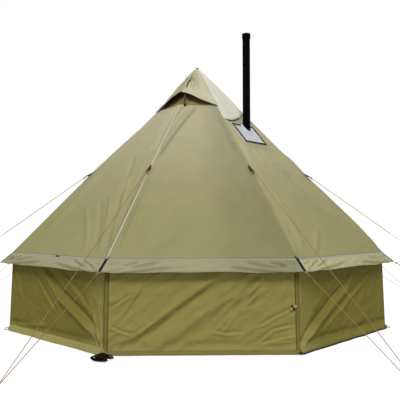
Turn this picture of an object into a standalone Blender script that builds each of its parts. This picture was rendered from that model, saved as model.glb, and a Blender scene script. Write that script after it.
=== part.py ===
"""An eight-sided hot tent: cloth roof and walls on a centre pole, held out by guy ropes,
with a vent hood, a door that lifts like an awning, a stove jack, and a wood stove and flue.

Metres, +Z up. The origin is the centre of the tent on the ground, and the front face looks along -Y.
"""

import math

import bpy
from mathutils import Matrix, Vector

# Driving dimensions of the tent
SIDES = 8
BASE_RADIUS = 2.0  # corner of the wall on the ground
EAVE_INSET = 0.020  # how far the wall leans in at its corners up to the eave
EAVE_HEIGHT = 0.752
PEAK_HEIGHT = 2.817
SKIRT_REACH = 0.113  # how far the skirt's corner stands out past the eave's
SKIRT_DROP = 0.094
SKIRT_FOLD = 0.007  # height of the skirt's soft waves
SKIRT_WAVES = 3  # waves on each side
WALL_FOLD = 0.009  # height of the soft diagonal folds in a wall
WALL_FOLDS = 2.5  # folds across a wall
WALL_FOLD_LEAN = 0.9  # how far a fold shifts from the ground to the eave, in half widths of the wall
WALL_FOLD_LEAN_LEFT = -0.75  # on the left side the folds lean the other way, and less
WALL_COLUMNS = 12
WALL_ROWS = 6
CLOTH = 0.003
SEAM_GAP = 0.0003

# Vent under the hood, and the hood itself, measured down the slope from the peak
ROOF_START = 0.060
CAP_HEM = 0.700
FLAP_HEM = 0.930  # the hood reaches lower above the stove jack
FLAP_TURN = 1.15  # where the hem starts to rise again, in sides round from the front
FLAP_RISE = 0.35
VENT_TOP = 0.330
VENT_BOTTOM = 0.690
VENT_MARGIN = 0.060  # cloth left beside each rib
AWNING_TIP = 0.580
AWNING_ROOM = 0.012  # left under the shut awning's widest hem for the folded prop
AWNING_SWEEP = 1.0  # sides that the awning spans, each way from its tip
AWNING_OPEN = math.radians(6.0)
PROP_WIDTH = 0.018
PROP_THICK = 0.004
PROP_FOOT_SIDE = -0.142
PROP_FOOT_DOWN = 0.722
PROP_OPEN = math.radians(17.5)  # between the prop and the roof it stands on

# Centre pole
POLE_RADIUS = 0.016
POLE_WALL = 0.0016
POLE_JOINT_HEIGHT = 1.42
POLE_SOCKET = 0.090
POLE_SHOULDER = 0.018  # below the peak, where the pole has narrowed to its spike
SPIKE_RADIUS = 0.008
FINIAL_RADIUS = 0.014
FINIAL_HEIGHT = 0.012
FOOT_RADIUS = 0.045
FOOT_HEIGHT = 0.034
FOOT_BASE = 0.012

# Guy ropes, their sliders and their pegs
ROPE_RADIUS = 0.0025
ROPE_KNOT_HEIGHT = 1.507  # where the upper rope leaves its rib
ROPE_STAND_OFF = 0.024
STAKE_REACH = 1.28  # from the wall's corner to its peg
PEG_RADIUS = 0.005
PEG_HEIGHT = 0.060
PEG_HEAD_RADIUS = 0.012
PEG_HEAD_HEIGHT = 0.008
ROPE_REST_HEIGHT = 0.030
SLIDER_LENGTH = 0.045
SLIDER_WIDTH = 0.018
SLIDER_THICK = 0.012
SLIDER_SETBACK = 0.060  # from the skirt's corner, down the rope
PEG_BENDS = 6  # steps of the rope's turn round its peg
RUNNING_GAP = 0.0005

# Door in the back face
DOOR_WIDTH = 0.76
DOOR_TOP_HEIGHT = 1.45
DOOR_SILL = 0.045
DOOR_BEVEL = 0.001  # off the lower leaf's inner top edge, so that it can hang from the lifted upper leaf
ZIP_GAP = 0.0006
ZIP_PULL_WIDTH = 0.012
ZIP_PULL_LENGTH = 0.036
ZIP_PULL_THICK = 0.006

# Stove jack in the front right face, measured down the slope from the peak
JACK_WIDTH = 0.350
JACK_LENGTH = 0.290
JACK_CENTRE = 1.135
JACK_THICK = 0.004
JACK_BORDER = 0.022  # how far the patch laps onto the roof round its hole
FLUE_DOWN = 1.079  # the slope distance at which the flue comes through

# Stove and flue
FLUE_RADIUS = 0.040
FLUE_WALL = 0.001
FLUE_TOP = 3.012
FLUE_JOINT = 2.196
FLUE_SOCKET = 0.040
CAP_RADIUS = 0.0445
CAP_HEIGHT = 0.048
CAP_OVERLAP = 0.018
CAP_SLOT_PAIRS = 4
CAP_SLOT_WIDTH = 0.016
CAP_SLOT_HEIGHT = 0.018
DAMPER_HEIGHT = 0.700
DAMPER_ROD_RADIUS = 0.003
DAMPER_PLATE_RADIUS = 0.034
DAMPER_THICK = 0.002
DAMPER_TAIL = 0.006
DAMPER_HANDLE = 0.060
DAMPER_GRIP = 0.040
DAMPER_GRIP_RADIUS = 0.005
STOVE_LENGTH = 0.420
STOVE_WIDTH = 0.260
STOVE_HEIGHT = 0.240
STOVE_WALL = 0.002
STOVE_LEG = 0.200
STOVE_LEG_WIDTH = 0.024
FLUE_FROM_REAR = 0.100
STOVE_MOUTH_BORDER = 0.030
DOOR_LAP = 0.012
DOOR_PLATE = 0.004
KNUCKLE_RADIUS = 0.006
KNUCKLE_LENGTH = 0.040
LATCH_LENGTH = 0.070
LATCH_WIDTH = 0.014
LATCH_THICK = 0.005
LATCH_KNOB_RADIUS = 0.011
LATCH_KNOB_LENGTH = 0.030
KEEPER_DEEP = 0.008

# Fineness of round pieces, and how far a cutter runs past what it cuts
ROUND = 24
SMALL_ROUND = 12
ROPE_ROUND = 8
SHARP_EDGE = math.radians(35)
OVERRUN = 0.02

STEP = math.tau / SIDES
HALF_SHARE = math.tan(STEP / 2)  # half a face's width as a share of its distance from the axis
EAVE_RADIUS = BASE_RADIUS - EAVE_INSET  # corner of the roof where the wall hangs from it
STAKE_RADIUS = BASE_RADIUS + STAKE_REACH
EAVE_OUT = EAVE_RADIUS * math.cos(STEP / 2)
BASE_OUT = BASE_RADIUS * math.cos(STEP / 2)
SLOPE = math.atan2(PEAK_HEIGHT - EAVE_HEIGHT, EAVE_OUT)
RIB_SLOPE = math.atan2(PEAK_HEIGHT - EAVE_HEIGHT, EAVE_RADIUS)
SKIRT_OUT = (EAVE_RADIUS + SKIRT_REACH) * math.cos(STEP / 2)
SKIRT_HEIGHT = EAVE_HEIGHT - SKIRT_DROP
DOOR_HALF = DOOR_WIDTH / 2
FACE_NAMES = ("front", "front_right", "right", "back_right", "back", "back_left", "left", "front_left")
FRONT, FRONT_RIGHT, BACK, FRONT_LEFT = 0, 1, 4, 7

COLOURS = {
    "roof_cloth": ((0.36, 0.35, 0.19), 0.85, 0.0),
    "wall_cloth": ((0.20, 0.18, 0.06), 0.85, 0.0),
    "skirt_cloth": ((0.42, 0.40, 0.23), 0.85, 0.0),
    "hood_cloth": ((0.48, 0.46, 0.31), 0.85, 0.0),
    "jack_cloth": ((0.72, 0.74, 0.75), 0.45, 0.0),
    "guy_rope": ((0.62, 0.25, 0.05), 0.7, 0.0),
    "orange_plastic": ((0.75, 0.25, 0.03), 0.4, 0.0),
    "black_steel": ((0.012, 0.012, 0.013), 0.5, 0.6),
    "bare_steel": ((0.5, 0.5, 0.5), 0.35, 1.0),
    "black_rubber": ((0.02, 0.02, 0.02), 0.8, 0.0),
    "black_plastic": ((0.015, 0.015, 0.015), 0.45, 0.0),
}


def clear_scene():
    for old in list(bpy.data.objects):
        bpy.data.objects.remove(old, do_unlink=True)


def material(name):
    made = bpy.data.materials.get(name)
    if made:
        return made
    colour, roughness, metallic = COLOURS[name]
    made = bpy.data.materials.new(name)
    made.use_nodes = True
    shader = made.node_tree.nodes["Principled BSDF"]
    shader.inputs["Base Color"].default_value = (*colour, 1.0)
    shader.inputs["Roughness"].default_value = roughness
    shader.inputs["Metallic"].default_value = metallic
    return made


def add_mesh(name, points, faces, finish=None, origin=(0.0, 0.0, 0.0)):
    """A mesh object whose points are given in the tent's frame, with its own origin at a joint or centre."""
    origin = Vector(origin)
    mesh = bpy.data.meshes.new(name)
    mesh.from_pydata([Vector(p) - origin for p in points], [], faces)
    mesh.update()
    made = bpy.data.objects.new(name, mesh)
    made.location = origin
    bpy.context.collection.objects.link(made)
    if finish:
        mesh.materials.append(material(finish))
    return made


def smooth(made):
    made.data.shade_smooth()
    made.data.set_sharp_from_angle(angle=SHARP_EDGE)


def helper(made):
    made.hide_render = True
    made.display_type = "WIRE"
    return made


def boolean(target, tool, operation="DIFFERENCE"):
    change = target.modifiers.new(operation.lower(), "BOOLEAN")
    change.operation = operation
    change.object = helper(tool)


def facing_out(points, faces):
    """The faces, turned round if they enclose a negative volume."""
    volume = 0.0
    for face in faces:
        first = Vector(points[face[0]])
        for i in range(1, len(face) - 1):
            volume += first.dot(Vector(points[face[i]]).cross(Vector(points[face[i + 1]])))
    return faces if volume > 0 else [tuple(reversed(face)) for face in faces]


def loft(rings, closed_loop=False):
    """(points, faces) of a solid through rings of equal count, capped at its ends if it has any."""
    size = len(rings[0])
    count = len(rings)
    points = [Vector(p) for ring in rings for p in ring]
    faces = []
    for i in range(count if closed_loop else count - 1):
        after = (i + 1) % count
        for j in range(size):
            k = (j + 1) % size
            faces.append((i * size + j, i * size + k, after * size + k, after * size + j))
    if not closed_loop:
        faces.append(tuple(reversed(range(size))))
        faces.append(tuple((count - 1) * size + j for j in range(size)))
    return points, facing_out(points, faces)


def azimuth(turn):
    """The level direction at a number of sides round from the front. A half is a rib."""
    return Vector((math.sin(turn * STEP), -math.cos(turn * STEP), 0.0))


def on_face(face, side, out, height):
    across = azimuth(face + SIDES / 4)
    return azimuth(face) * out + across * side + Vector((0.0, 0.0, height))


def on_rib(rib, radius, height):
    return azimuth(rib + 0.5) * radius + Vector((0.0, 0.0, height))


def down_slope(distance, lift=0.0):
    """(out, height) of a point this far down a roof face from the peak, lifted off its outer surface."""
    out = distance * math.cos(SLOPE) + lift * math.sin(SLOPE)
    return out, PEAK_HEIGHT - distance * math.sin(SLOPE) + lift * math.cos(SLOPE)


def down_slope_to(height):
    return (PEAK_HEIGHT - height) / math.sin(SLOPE)


EAVE_DOWN = down_slope_to(EAVE_HEIGHT)
WALL_TOP_OUT = EAVE_OUT - CLOTH
WALL_TOP = PEAK_HEIGHT - WALL_TOP_OUT * math.tan(SLOPE) - CLOTH / math.cos(SLOPE) - SEAM_GAP
WALL_LEAN = math.atan2(BASE_OUT - WALL_TOP_OUT, WALL_TOP)


def prism(name, face, profile, finish, half=None, origin=(0.0, 0.0, 0.0)):
    """A piece with this (out, height) outline, as wide as its face or half wide each way."""
    seam = SEAM_GAP / 2 / math.cos(STEP / 2)
    ends = []
    for sign in (-1, 1):
        ring = []
        for out, height in profile:
            reach = half if half is not None else out * HALF_SHARE - seam
            ring.append(on_face(face, sign * reach, out, height))
        ends.append(ring)
    points, faces = loft(ends)
    return add_mesh(name, points, faces, finish, origin)


def slope_profile(top, bottom, lift=0.0, thick=CLOTH):
    """The outline of a plate that lies in a roof face, its outer surface lifted off the roof's."""
    inner = lift - thick
    outside = [down_slope(top, lift), down_slope(bottom, lift)]
    return outside + [down_slope(bottom, inner), down_slope(top, inner)]


def wall_out(height):
    return BASE_OUT - height * math.tan(WALL_LEAN)


def wall_profile(bottom, bevel=0.0):
    """The outline of a plate that lies in a wall, its inner top edge dropped by a bevel."""
    return [
        (wall_out(WALL_TOP), WALL_TOP),
        (wall_out(bottom), bottom),
        (wall_out(bottom) - CLOTH, bottom),
        (wall_out(WALL_TOP) - CLOTH, WALL_TOP - bevel),
    ]


def cutter_on_slope(name, face, top, bottom, half_top, half_bottom):
    rings = []
    for distance, half in ((top, half_top), (bottom, half_bottom)):
        ring = []
        for side, lift in ((-half, OVERRUN), (half, OVERRUN), (half, -OVERRUN), (-half, -OVERRUN)):
            ring.append(on_face(face, side, *down_slope(distance, lift)))
        rings.append(ring)
    points, faces = loft(rings)
    return add_mesh(name, points, faces)


def make_roof():
    for face, label in enumerate(FACE_NAMES):
        panel = prism(f"roof_panel_{label}", face, slope_profile(ROOF_START, EAVE_DOWN), "roof_cloth")
        if face in (FRONT, FRONT_LEFT):
            halves = [down_slope(d)[0] * HALF_SHARE - VENT_MARGIN for d in (VENT_TOP, VENT_BOTTOM)]
            boolean(panel, cutter_on_slope(f"vent_cutter_{label}", face, VENT_TOP, VENT_BOTTOM, *halves))
        if face == FRONT_RIGHT:
            half = JACK_WIDTH / 2 - JACK_BORDER
            top = JACK_CENTRE - JACK_LENGTH / 2 + JACK_BORDER
            bottom = JACK_CENTRE + JACK_LENGTH / 2 - JACK_BORDER
            boolean(panel, cutter_on_slope("jack_hole_cutter", face, top, bottom, half, half))
        if face == BACK:
            top = down_slope_to(DOOR_TOP_HEIGHT)
            bottom = EAVE_DOWN + OVERRUN
            boolean(panel, cutter_on_slope("door_roof_cutter", face, top, bottom, DOOR_HALF, DOOR_HALF))


def wall_fold(share, rise, lean):
    """How far a wall's cloth stands out, at a share of its half width and a share of its height."""
    wave = math.sin(math.pi * WALL_FOLDS * (share - lean * rise))
    return WALL_FOLD * wave * (1 - share * share) * math.sin(math.pi * rise)


def make_folded_wall(name, face):
    """A wall of slack cloth, in folds that die out at its seams, its eave and the ground.

    The folds lean one way round from the front to the back, and the other way on the left side.
    """
    seam = SEAM_GAP / 2 / math.cos(STEP / 2)
    lean = WALL_FOLD_LEAN if face < BACK else WALL_FOLD_LEAN_LEFT
    rings = []
    for column in range(WALL_COLUMNS + 1):
        share = 2 * column / WALL_COLUMNS - 1
        outside, inside = [], []
        for row in range(WALL_ROWS + 1):
            rise = row / WALL_ROWS
            height = WALL_TOP * rise
            out = wall_out(height) + wall_fold(share, rise, lean)
            side = share * (wall_out(height) * HALF_SHARE - seam)
            inner_side = share * ((wall_out(height) - CLOTH) * HALF_SHARE - seam)
            outside.append(on_face(face, side, out, height))
            inside.append(on_face(face, inner_side, out - CLOTH, height))
        rings.append(outside + inside[::-1])
    points, faces = loft(rings)
    smooth(add_mesh(name, points, faces, "wall_cloth"))


def make_walls():
    for face, label in enumerate(FACE_NAMES):
        if face != BACK:
            make_folded_wall(f"wall_panel_{label}", face)
    panel = prism(f"wall_panel_{FACE_NAMES[BACK]}", BACK, wall_profile(0.0), "wall_cloth")
    top = WALL_TOP + OVERRUN
    ring = [
        (wall_out(top) + OVERRUN, top),
        (wall_out(DOOR_SILL) + OVERRUN, DOOR_SILL),
        (wall_out(DOOR_SILL) - OVERRUN, DOOR_SILL),
        (wall_out(top) - OVERRUN, top),
    ]
    boolean(panel, prism("door_wall_cutter", BACK, ring, None, half=DOOR_HALF))


def skirt_section(face, share):
    """The skirt cut across, at a share of the way from its face's middle to a corner."""
    top_out, top_height = down_slope(EAVE_DOWN + SEAM_GAP)
    under_out, under_height = down_slope(EAVE_DOWN + SEAM_GAP, -CLOTH)
    wave = SKIRT_FOLD * math.sin(math.pi * SKIRT_WAVES * share) * (1 - share * share)
    fall = math.atan2(SKIRT_DROP, SKIRT_OUT - EAVE_OUT)
    out = SKIRT_OUT + wave * math.sin(fall)
    height = SKIRT_HEIGHT + wave * math.cos(fall)
    thick_out, thick_height = CLOTH * math.sin(fall), CLOTH * math.cos(fall)
    corners = (
        (top_out, top_height),
        (out, height),
        (out - thick_out, height - thick_height),
        (under_out, under_height),
    )
    return [(o, h) for o, h in corners], [share * o * HALF_SHARE for o, _ in corners]


def skirt_rings(face, shares):
    rings = []
    for share in shares:
        corners, sides = skirt_section(face, share)
        rings.append([on_face(face, side, out, height) for (out, height), side in zip(corners, sides)])
    return rings


def make_skirt():
    columns = 4 * SKIRT_WAVES
    edge = (DOOR_HALF + ZIP_GAP) / (EAVE_OUT * HALF_SHARE)
    rings = []
    for turn in range(BACK, BACK + SIDES + 1):
        start, end = -1.0, 1.0
        if turn == BACK:
            start = edge
        if turn == BACK + SIDES:
            end = -edge
        shares = [start + (end - start) * i / columns for i in range(columns + 1)]
        found = skirt_rings(turn % SIDES, shares)
        rings += found if turn == BACK else found[1:]
    points, faces = loft(rings)
    smooth(add_mesh("eave_skirt", points, faces, "skirt_cloth"))


def make_door():
    top = down_slope_to(DOOR_TOP_HEIGHT) + ZIP_GAP
    hinge = on_face(BACK, 0.0, *down_slope(top))
    crease = on_face(BACK, 0.0, wall_out(WALL_TOP), WALL_TOP)
    half = DOOR_HALF - ZIP_GAP
    prism("door_upper_leaf", BACK, slope_profile(top, EAVE_DOWN), "roof_cloth", half, hinge)
    profile = wall_profile(DOOR_SILL + ZIP_GAP, DOOR_BEVEL)
    prism("door_lower_leaf", BACK, profile, "wall_cloth", half, crease)
    columns = 2 * SKIRT_WAVES
    edge = half / (EAVE_OUT * HALF_SHARE)
    rings = []
    for ring in skirt_rings(BACK, [edge * (2 * i / columns - 1) for i in range(columns + 1)]):
        rings.append([Vector((max(-half, min(half, p.x)), p.y, p.z)) for p in ring])
    points, faces = loft(rings)
    smooth(add_mesh("door_skirt", points, faces, "skirt_cloth", hinge))
    for label, sign in (("left", -1), ("right", 1)):
        side = sign * (DOOR_HALF + ZIP_PULL_WIDTH)
        bottom = DOOR_SILL
        profile = []
        for height, lift in (
            (bottom + ZIP_PULL_LENGTH, SEAM_GAP + ZIP_PULL_THICK / 2),
            (bottom + ZIP_PULL_LENGTH * 2 / 3, SEAM_GAP + ZIP_PULL_THICK),
            (bottom, SEAM_GAP + ZIP_PULL_THICK),
            (bottom, SEAM_GAP),
            (bottom + ZIP_PULL_LENGTH, SEAM_GAP),
        ):
            profile.append((wall_out(height) + lift / math.cos(WALL_LEAN), height))
        rings = []
        for edge_side in (side - ZIP_PULL_WIDTH / 2, side + ZIP_PULL_WIDTH / 2):
            rings.append([on_face(BACK, edge_side, out, height) for out, height in profile])
        points, faces = loft(rings)
        add_mesh(f"zip_pull_{label}", points, faces, "black_plastic", on_face(BACK, side, *profile[2]))


CAP_START = (SPIKE_RADIUS + RUNNING_GAP - SEAM_GAP * math.sin(SLOPE)) / math.cos(SLOPE)
PEAK = Vector((0.0, 0.0, PEAK_HEIGHT))
AWNING_AXIS = azimuth(FRONT_LEFT + 0.5 - SIDES / 4)


def hood_hem(turn):
    """How far down the slope the fixed hood's hem lies, at a number of sides round from the front."""
    past = max(0.0, turn - FLAP_TURN) / FLAP_RISE
    return CAP_HEM + (FLAP_HEM - CAP_HEM) * max(0.0, 1.0 - past)


def hood_ring(turn, hem, room=0.0):
    """The hood cut along a level direction, from the spike to its hem and back along its underside.

    Room is what the hood leaves over the roof at the widest hem, and it shrinks towards the spike.
    """
    within = (turn % 1.0 + 0.5) % 1.0 - 0.5
    longer = 1.0 / math.cos(within * STEP)
    lift = SEAM_GAP + room * (hem - CAP_START) / (CAP_HEM - CAP_START)
    ring = []
    for distance, rise in (
        (CAP_START, SEAM_GAP + CLOTH),
        (hem, lift + CLOTH),
        (hem, lift),
        (CAP_START, SEAM_GAP),
    ):
        out, height = down_slope(distance, rise)
        ring.append(azimuth(turn) * out * longer + Vector((0.0, 0.0, height)))
    return ring


def awning_turn():
    """From the awning's shut place to its place on the prop."""
    turn = Matrix.Rotation(AWNING_OPEN, 4, AWNING_AXIS)
    return Matrix.Translation(PEAK) @ turn @ Matrix.Translation(-PEAK)


def awning_ring(share):
    """The raised awning cut at a share of its sweep from its tip."""
    hem = AWNING_TIP + (CAP_HEM - AWNING_TIP) * abs(share)
    ring = hood_ring(FRONT_LEFT + 0.5 + share * AWNING_SWEEP, hem, AWNING_ROOM)
    return [awning_turn() @ p for p in ring]


def make_hood():
    """The fixed hood round six faces, and the awning over the other two, raised from its shut place."""
    seam = SEAM_GAP / SPIKE_RADIUS / STEP
    turns = {FRONT + 0.5 + seam, FRONT_LEFT - 0.5 - seam, FLAP_TURN, FLAP_TURN + FLAP_RISE}
    turns |= {half / 2 for half in range(2 * FRONT + 2, 2 * FRONT_LEFT - 1)}
    points, faces = loft([hood_ring(turn, hood_hem(turn)) for turn in sorted(turns)])
    add_mesh("peak_hood", points, faces, "hood_cloth")

    shares = (seam - 1, -0.5, 0, 0.5, 1 - seam)
    points, faces = loft([awning_ring(share) for share in shares])
    add_mesh("vent_awning", points, faces, "hood_cloth", PEAK)


def make_prop():
    """The stick that holds the awning up. It stands on the front face below the vent."""
    foot = on_face(FRONT, PROP_FOOT_SIDE, *down_slope(PROP_FOOT_DOWN, PROP_THICK / 2 + SEAM_GAP))
    angle = SLOPE + PROP_OPEN
    along = Vector((0.0, math.cos(angle), math.sin(angle)))
    normal = Vector((0.0, -math.sin(angle), math.cos(angle)))
    side = Vector((1.0, 0.0, 0.0))
    tip_hem, tip_start = awning_ring(0)[2:]
    middle_hem = awning_ring(0.5)[2]
    under = (tip_start - tip_hem).cross(middle_hem - tip_hem).normalized()
    climb = along.dot(under)
    start, end = [], []
    for a, b in ((-1, -1), (1, -1), (1, 1), (-1, 1)):
        corner = foot + side * a * PROP_WIDTH / 2 + normal * b * PROP_THICK / 2
        reach = ((tip_hem - corner).dot(under) - math.copysign(SEAM_GAP, climb)) / climb
        start.append(corner)
        end.append(corner + along * reach)
    points, faces = loft([start, end])
    add_mesh("vent_prop", points, faces, "black_plastic", foot)


def turned(name, centre, profile, finish, count=ROUND):
    """A solid turned about an upright axis from (radius, height) points. A radius of 0 is on the axis."""
    points, faces, rows = [], [], []
    for radius, height in profile:
        if radius == 0.0:
            rows.append([len(points)] * count)
            points.append(Vector((centre[0], centre[1], height)))
            continue
        row = []
        for i in range(count):
            angle = math.tau * i / count
            row.append(len(points))
            x, y = centre[0] + radius * math.cos(angle), centre[1] + radius * math.sin(angle)
            points.append(Vector((x, y, height)))
        rows.append(row)
    for low, high in zip(rows, rows[1:] + rows[:1]):
        for i in range(count):
            j = (i + 1) % count
            corners = tuple(dict.fromkeys((low[i], low[j], high[j], high[i])))
            if len(corners) > 2:
                faces.append(corners)
    made = add_mesh(name, points, facing_out(points, faces), finish)
    smooth(made)
    return made


def make_pole():
    centre = (0.0, 0.0)
    inner = POLE_RADIUS - POLE_WALL
    bore = POLE_RADIUS + SEAM_GAP
    turned("pole_foot", centre, [
        (FOOT_RADIUS, 0.0), (FOOT_RADIUS, FOOT_BASE), (bore + POLE_WALL * 3, FOOT_HEIGHT),
        (bore, FOOT_HEIGHT), (bore, FOOT_BASE), (0.0, FOOT_BASE), (0.0, 0.0),
    ], "black_rubber")
    bottom = FOOT_BASE + SEAM_GAP
    turned("pole_lower_section", centre, [
        (POLE_RADIUS, bottom), (POLE_RADIUS, POLE_JOINT_HEIGHT), (inner, POLE_JOINT_HEIGHT), (inner, bottom),
    ], "bare_steel", SMALL_ROUND)
    spigot = inner - SEAM_GAP
    start = POLE_JOINT_HEIGHT + SEAM_GAP
    shoulder = PEAK_HEIGHT - POLE_SHOULDER
    out, height = down_slope(CAP_START, SEAM_GAP + CLOTH)
    raised = (height - PEAK_HEIGHT) * math.cos(AWNING_OPEN)
    finial = PEAK_HEIGHT + raised + out / math.cos(STEP / 2) * math.sin(AWNING_OPEN) + SEAM_GAP
    plug = shoulder - POLE_RADIUS * 2
    turned("pole_upper_section", centre, [
        (0.0, plug), (inner, plug), (inner, start + POLE_WALL), (spigot - POLE_WALL, start),
        (spigot - POLE_WALL, start - POLE_SOCKET), (spigot, start - POLE_SOCKET), (spigot, start),
        (POLE_RADIUS, start), (POLE_RADIUS, shoulder - POLE_RADIUS), (SPIKE_RADIUS, shoulder),
        (SPIKE_RADIUS, finial), (FINIAL_RADIUS, finial), (FINIAL_RADIUS, finial + FINIAL_HEIGHT / 2),
        (FINIAL_RADIUS / 2, finial + FINIAL_HEIGHT), (0.0, finial + FINIAL_HEIGHT),
    ], "bare_steel", SMALL_ROUND)


def tube(name, path, radius, finish, count=ROPE_ROUND):
    """A round cord along a path that stays near one upright plane, with flat ends."""
    rings = []
    for i, point in enumerate(path):
        before = path[max(i - 1, 0)]
        after = path[min(i + 1, len(path) - 1)]
        along = (after - before).normalized()
        side = along.cross(Vector((0.0, 0.0, 1.0)))
        side = side.normalized()
        up = side.cross(along)
        ring = []
        for j in range(count):
            angle = math.tau * (j + 0.5) / count
            ring.append(point + (side * math.cos(angle) + up * math.sin(angle)) * radius)
        rings.append(ring)
    points, faces = loft(rings)
    made = add_mesh(name, points, faces, finish)
    smooth(made)
    return made


def rope_ends(rib):
    """Where a corner's ropes leave the skirt and the rib, how the upper one stands off, and their peg."""
    knot_radius = (PEAK_HEIGHT - ROPE_KNOT_HEIGHT) / math.tan(RIB_SLOPE)
    low = on_rib(rib, EAVE_RADIUS + SKIRT_REACH + SEAM_GAP, SKIRT_HEIGHT - SEAM_GAP)
    knot = on_rib(rib, knot_radius, ROPE_KNOT_HEIGHT)
    off = azimuth(rib + 0.5) * math.sin(RIB_SLOPE) + Vector((0.0, 0.0, math.cos(RIB_SLOPE)))
    stake = on_rib(rib, STAKE_RADIUS, ROPE_REST_HEIGHT)
    return low, knot, off, stake


def make_guys():
    wrap = PEG_RADIUS + ROPE_RADIUS + RUNNING_GAP
    for rib in range(SIDES):
        across = azimuth(rib + 0.5 + SIDES / 4)
        outward = azimuth(rib + 0.5)
        low, knot, off, stake = rope_ends(rib)
        path = [low]
        for i in range(PEG_BENDS + 1):
            angle = math.pi * (i / PEG_BENDS - 0.5)
            path.append(stake + (across * math.sin(angle) + outward * math.cos(angle)) * wrap)
        path.append(knot + off * ROPE_STAND_OFF)
        path.append(knot + off * SEAM_GAP * 2)
        tube(f"guy_rope_{rib + 1}", path, ROPE_RADIUS, "guy_rope")
        turned(f"guy_peg_{rib + 1}", (stake.x, stake.y), [
            (0.0, 0.0), (PEG_RADIUS, 0.0), (PEG_RADIUS, PEG_HEIGHT - PEG_HEAD_HEIGHT),
            (PEG_HEAD_RADIUS, PEG_HEIGHT - PEG_HEAD_HEIGHT / 2), (PEG_HEAD_RADIUS * 2 / 3, PEG_HEIGHT),
            (0.0, PEG_HEIGHT),
        ], "bare_steel", SMALL_ROUND)
        along = (path[1] - low).normalized()
        make_slider(f"rope_slider_{rib + 1}", low + along * (SLIDER_SETBACK + SLIDER_LENGTH / 2), along)


def make_slider(name, centre, along):
    """A bored block that slides on a guy rope to tighten it."""
    side = along.cross(Vector((0.0, 0.0, 1.0))).normalized()
    up = side.cross(along)
    bore = (ROPE_RADIUS + RUNNING_GAP) / math.cos(math.pi / ROPE_ROUND)
    rings = []
    for shift, outer in ((-1, True), (1, True), (1, False), (-1, False)):
        middle = centre + along * shift * SLIDER_LENGTH / 2
        ring = []
        for j in range(ROPE_ROUND):
            angle = math.tau * (j + 0.5) / ROPE_ROUND
            across, rise = math.cos(angle), math.sin(angle)
            if outer:
                across *= SLIDER_WIDTH / 2 / math.cos(math.pi / ROPE_ROUND)
                rise *= SLIDER_THICK / 2 / math.cos(math.pi / ROPE_ROUND)
            else:
                across *= bore
                rise *= bore
            ring.append(middle + side * across + up * rise)
        rings.append(ring)
    points, faces = loft(rings, closed_loop=True)
    add_mesh(name, points, faces, "orange_plastic", centre)


def box(name, low, high, finish=None, origin=(0.0, 0.0, 0.0)):
    sides = ((low[0], low[1]), (high[0], low[1]), (high[0], high[1]), (low[0], high[1]))
    points, faces = loft([[(x, y, z) for x, y in sides] for z in (low[2], high[2])])
    return add_mesh(name, points, faces, finish, origin)


FLUE_CENTRE = azimuth(FRONT_RIGHT) * FLUE_DOWN * math.cos(SLOPE)
FLUE_BORE = FLUE_RADIUS - FLUE_WALL
NECK_RADIUS = FLUE_BORE - SEAM_GAP
NECK_BORE = NECK_RADIUS - FLUE_WALL
STOVE_TOP = STOVE_LEG + STOVE_HEIGHT
STOVE_REAR = FLUE_CENTRE.y - FLUE_FROM_REAR
STOVE_FRONT = STOVE_REAR + STOVE_LENGTH


def disc(name, bottom, top, radius):
    return turned(name, FLUE_CENTRE, [(0.0, bottom), (radius, bottom), (radius, top), (0.0, top)], None)


def make_jack():
    top, bottom = JACK_CENTRE - JACK_LENGTH / 2, JACK_CENTRE + JACK_LENGTH / 2
    profile = slope_profile(top, bottom, JACK_THICK + SEAM_GAP, JACK_THICK)
    patch = prism("stove_jack", FRONT_RIGHT, profile, "jack_cloth", half=JACK_WIDTH / 2)
    low, high = down_slope(bottom)[1], down_slope(top)[1] + OVERRUN
    boolean(patch, disc("jack_flue_cutter", low, high, FLUE_RADIUS + SEAM_GAP))


def make_flue():
    start = STOVE_TOP + SEAM_GAP
    lower = turned("flue_lower_section", FLUE_CENTRE, [
        (FLUE_RADIUS, start), (FLUE_RADIUS, FLUE_JOINT), (NECK_RADIUS, FLUE_JOINT),
        (NECK_RADIUS, FLUE_JOINT + FLUE_SOCKET), (NECK_BORE, FLUE_JOINT + FLUE_SOCKET),
        (NECK_BORE, FLUE_JOINT - FLUE_WALL), (FLUE_BORE, FLUE_JOINT - FLUE_SOCKET), (FLUE_BORE, start),
    ], "black_steel")
    reach = Vector((0.0, FLUE_RADIUS + OVERRUN, 0.0))
    middle = Vector((FLUE_CENTRE.x, FLUE_CENTRE.y, DAMPER_HEIGHT))
    bore = DAMPER_ROD_RADIUS + RUNNING_GAP
    boolean(lower, tube("damper_hole_cutter", [middle - reach, middle + reach], bore, None, SMALL_ROUND))
    turned("flue_upper_section", FLUE_CENTRE, [
        (FLUE_RADIUS, FLUE_JOINT + SEAM_GAP), (FLUE_RADIUS, FLUE_TOP), (FLUE_BORE, FLUE_TOP),
        (FLUE_BORE, FLUE_JOINT + SEAM_GAP),
    ], "black_steel")


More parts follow.
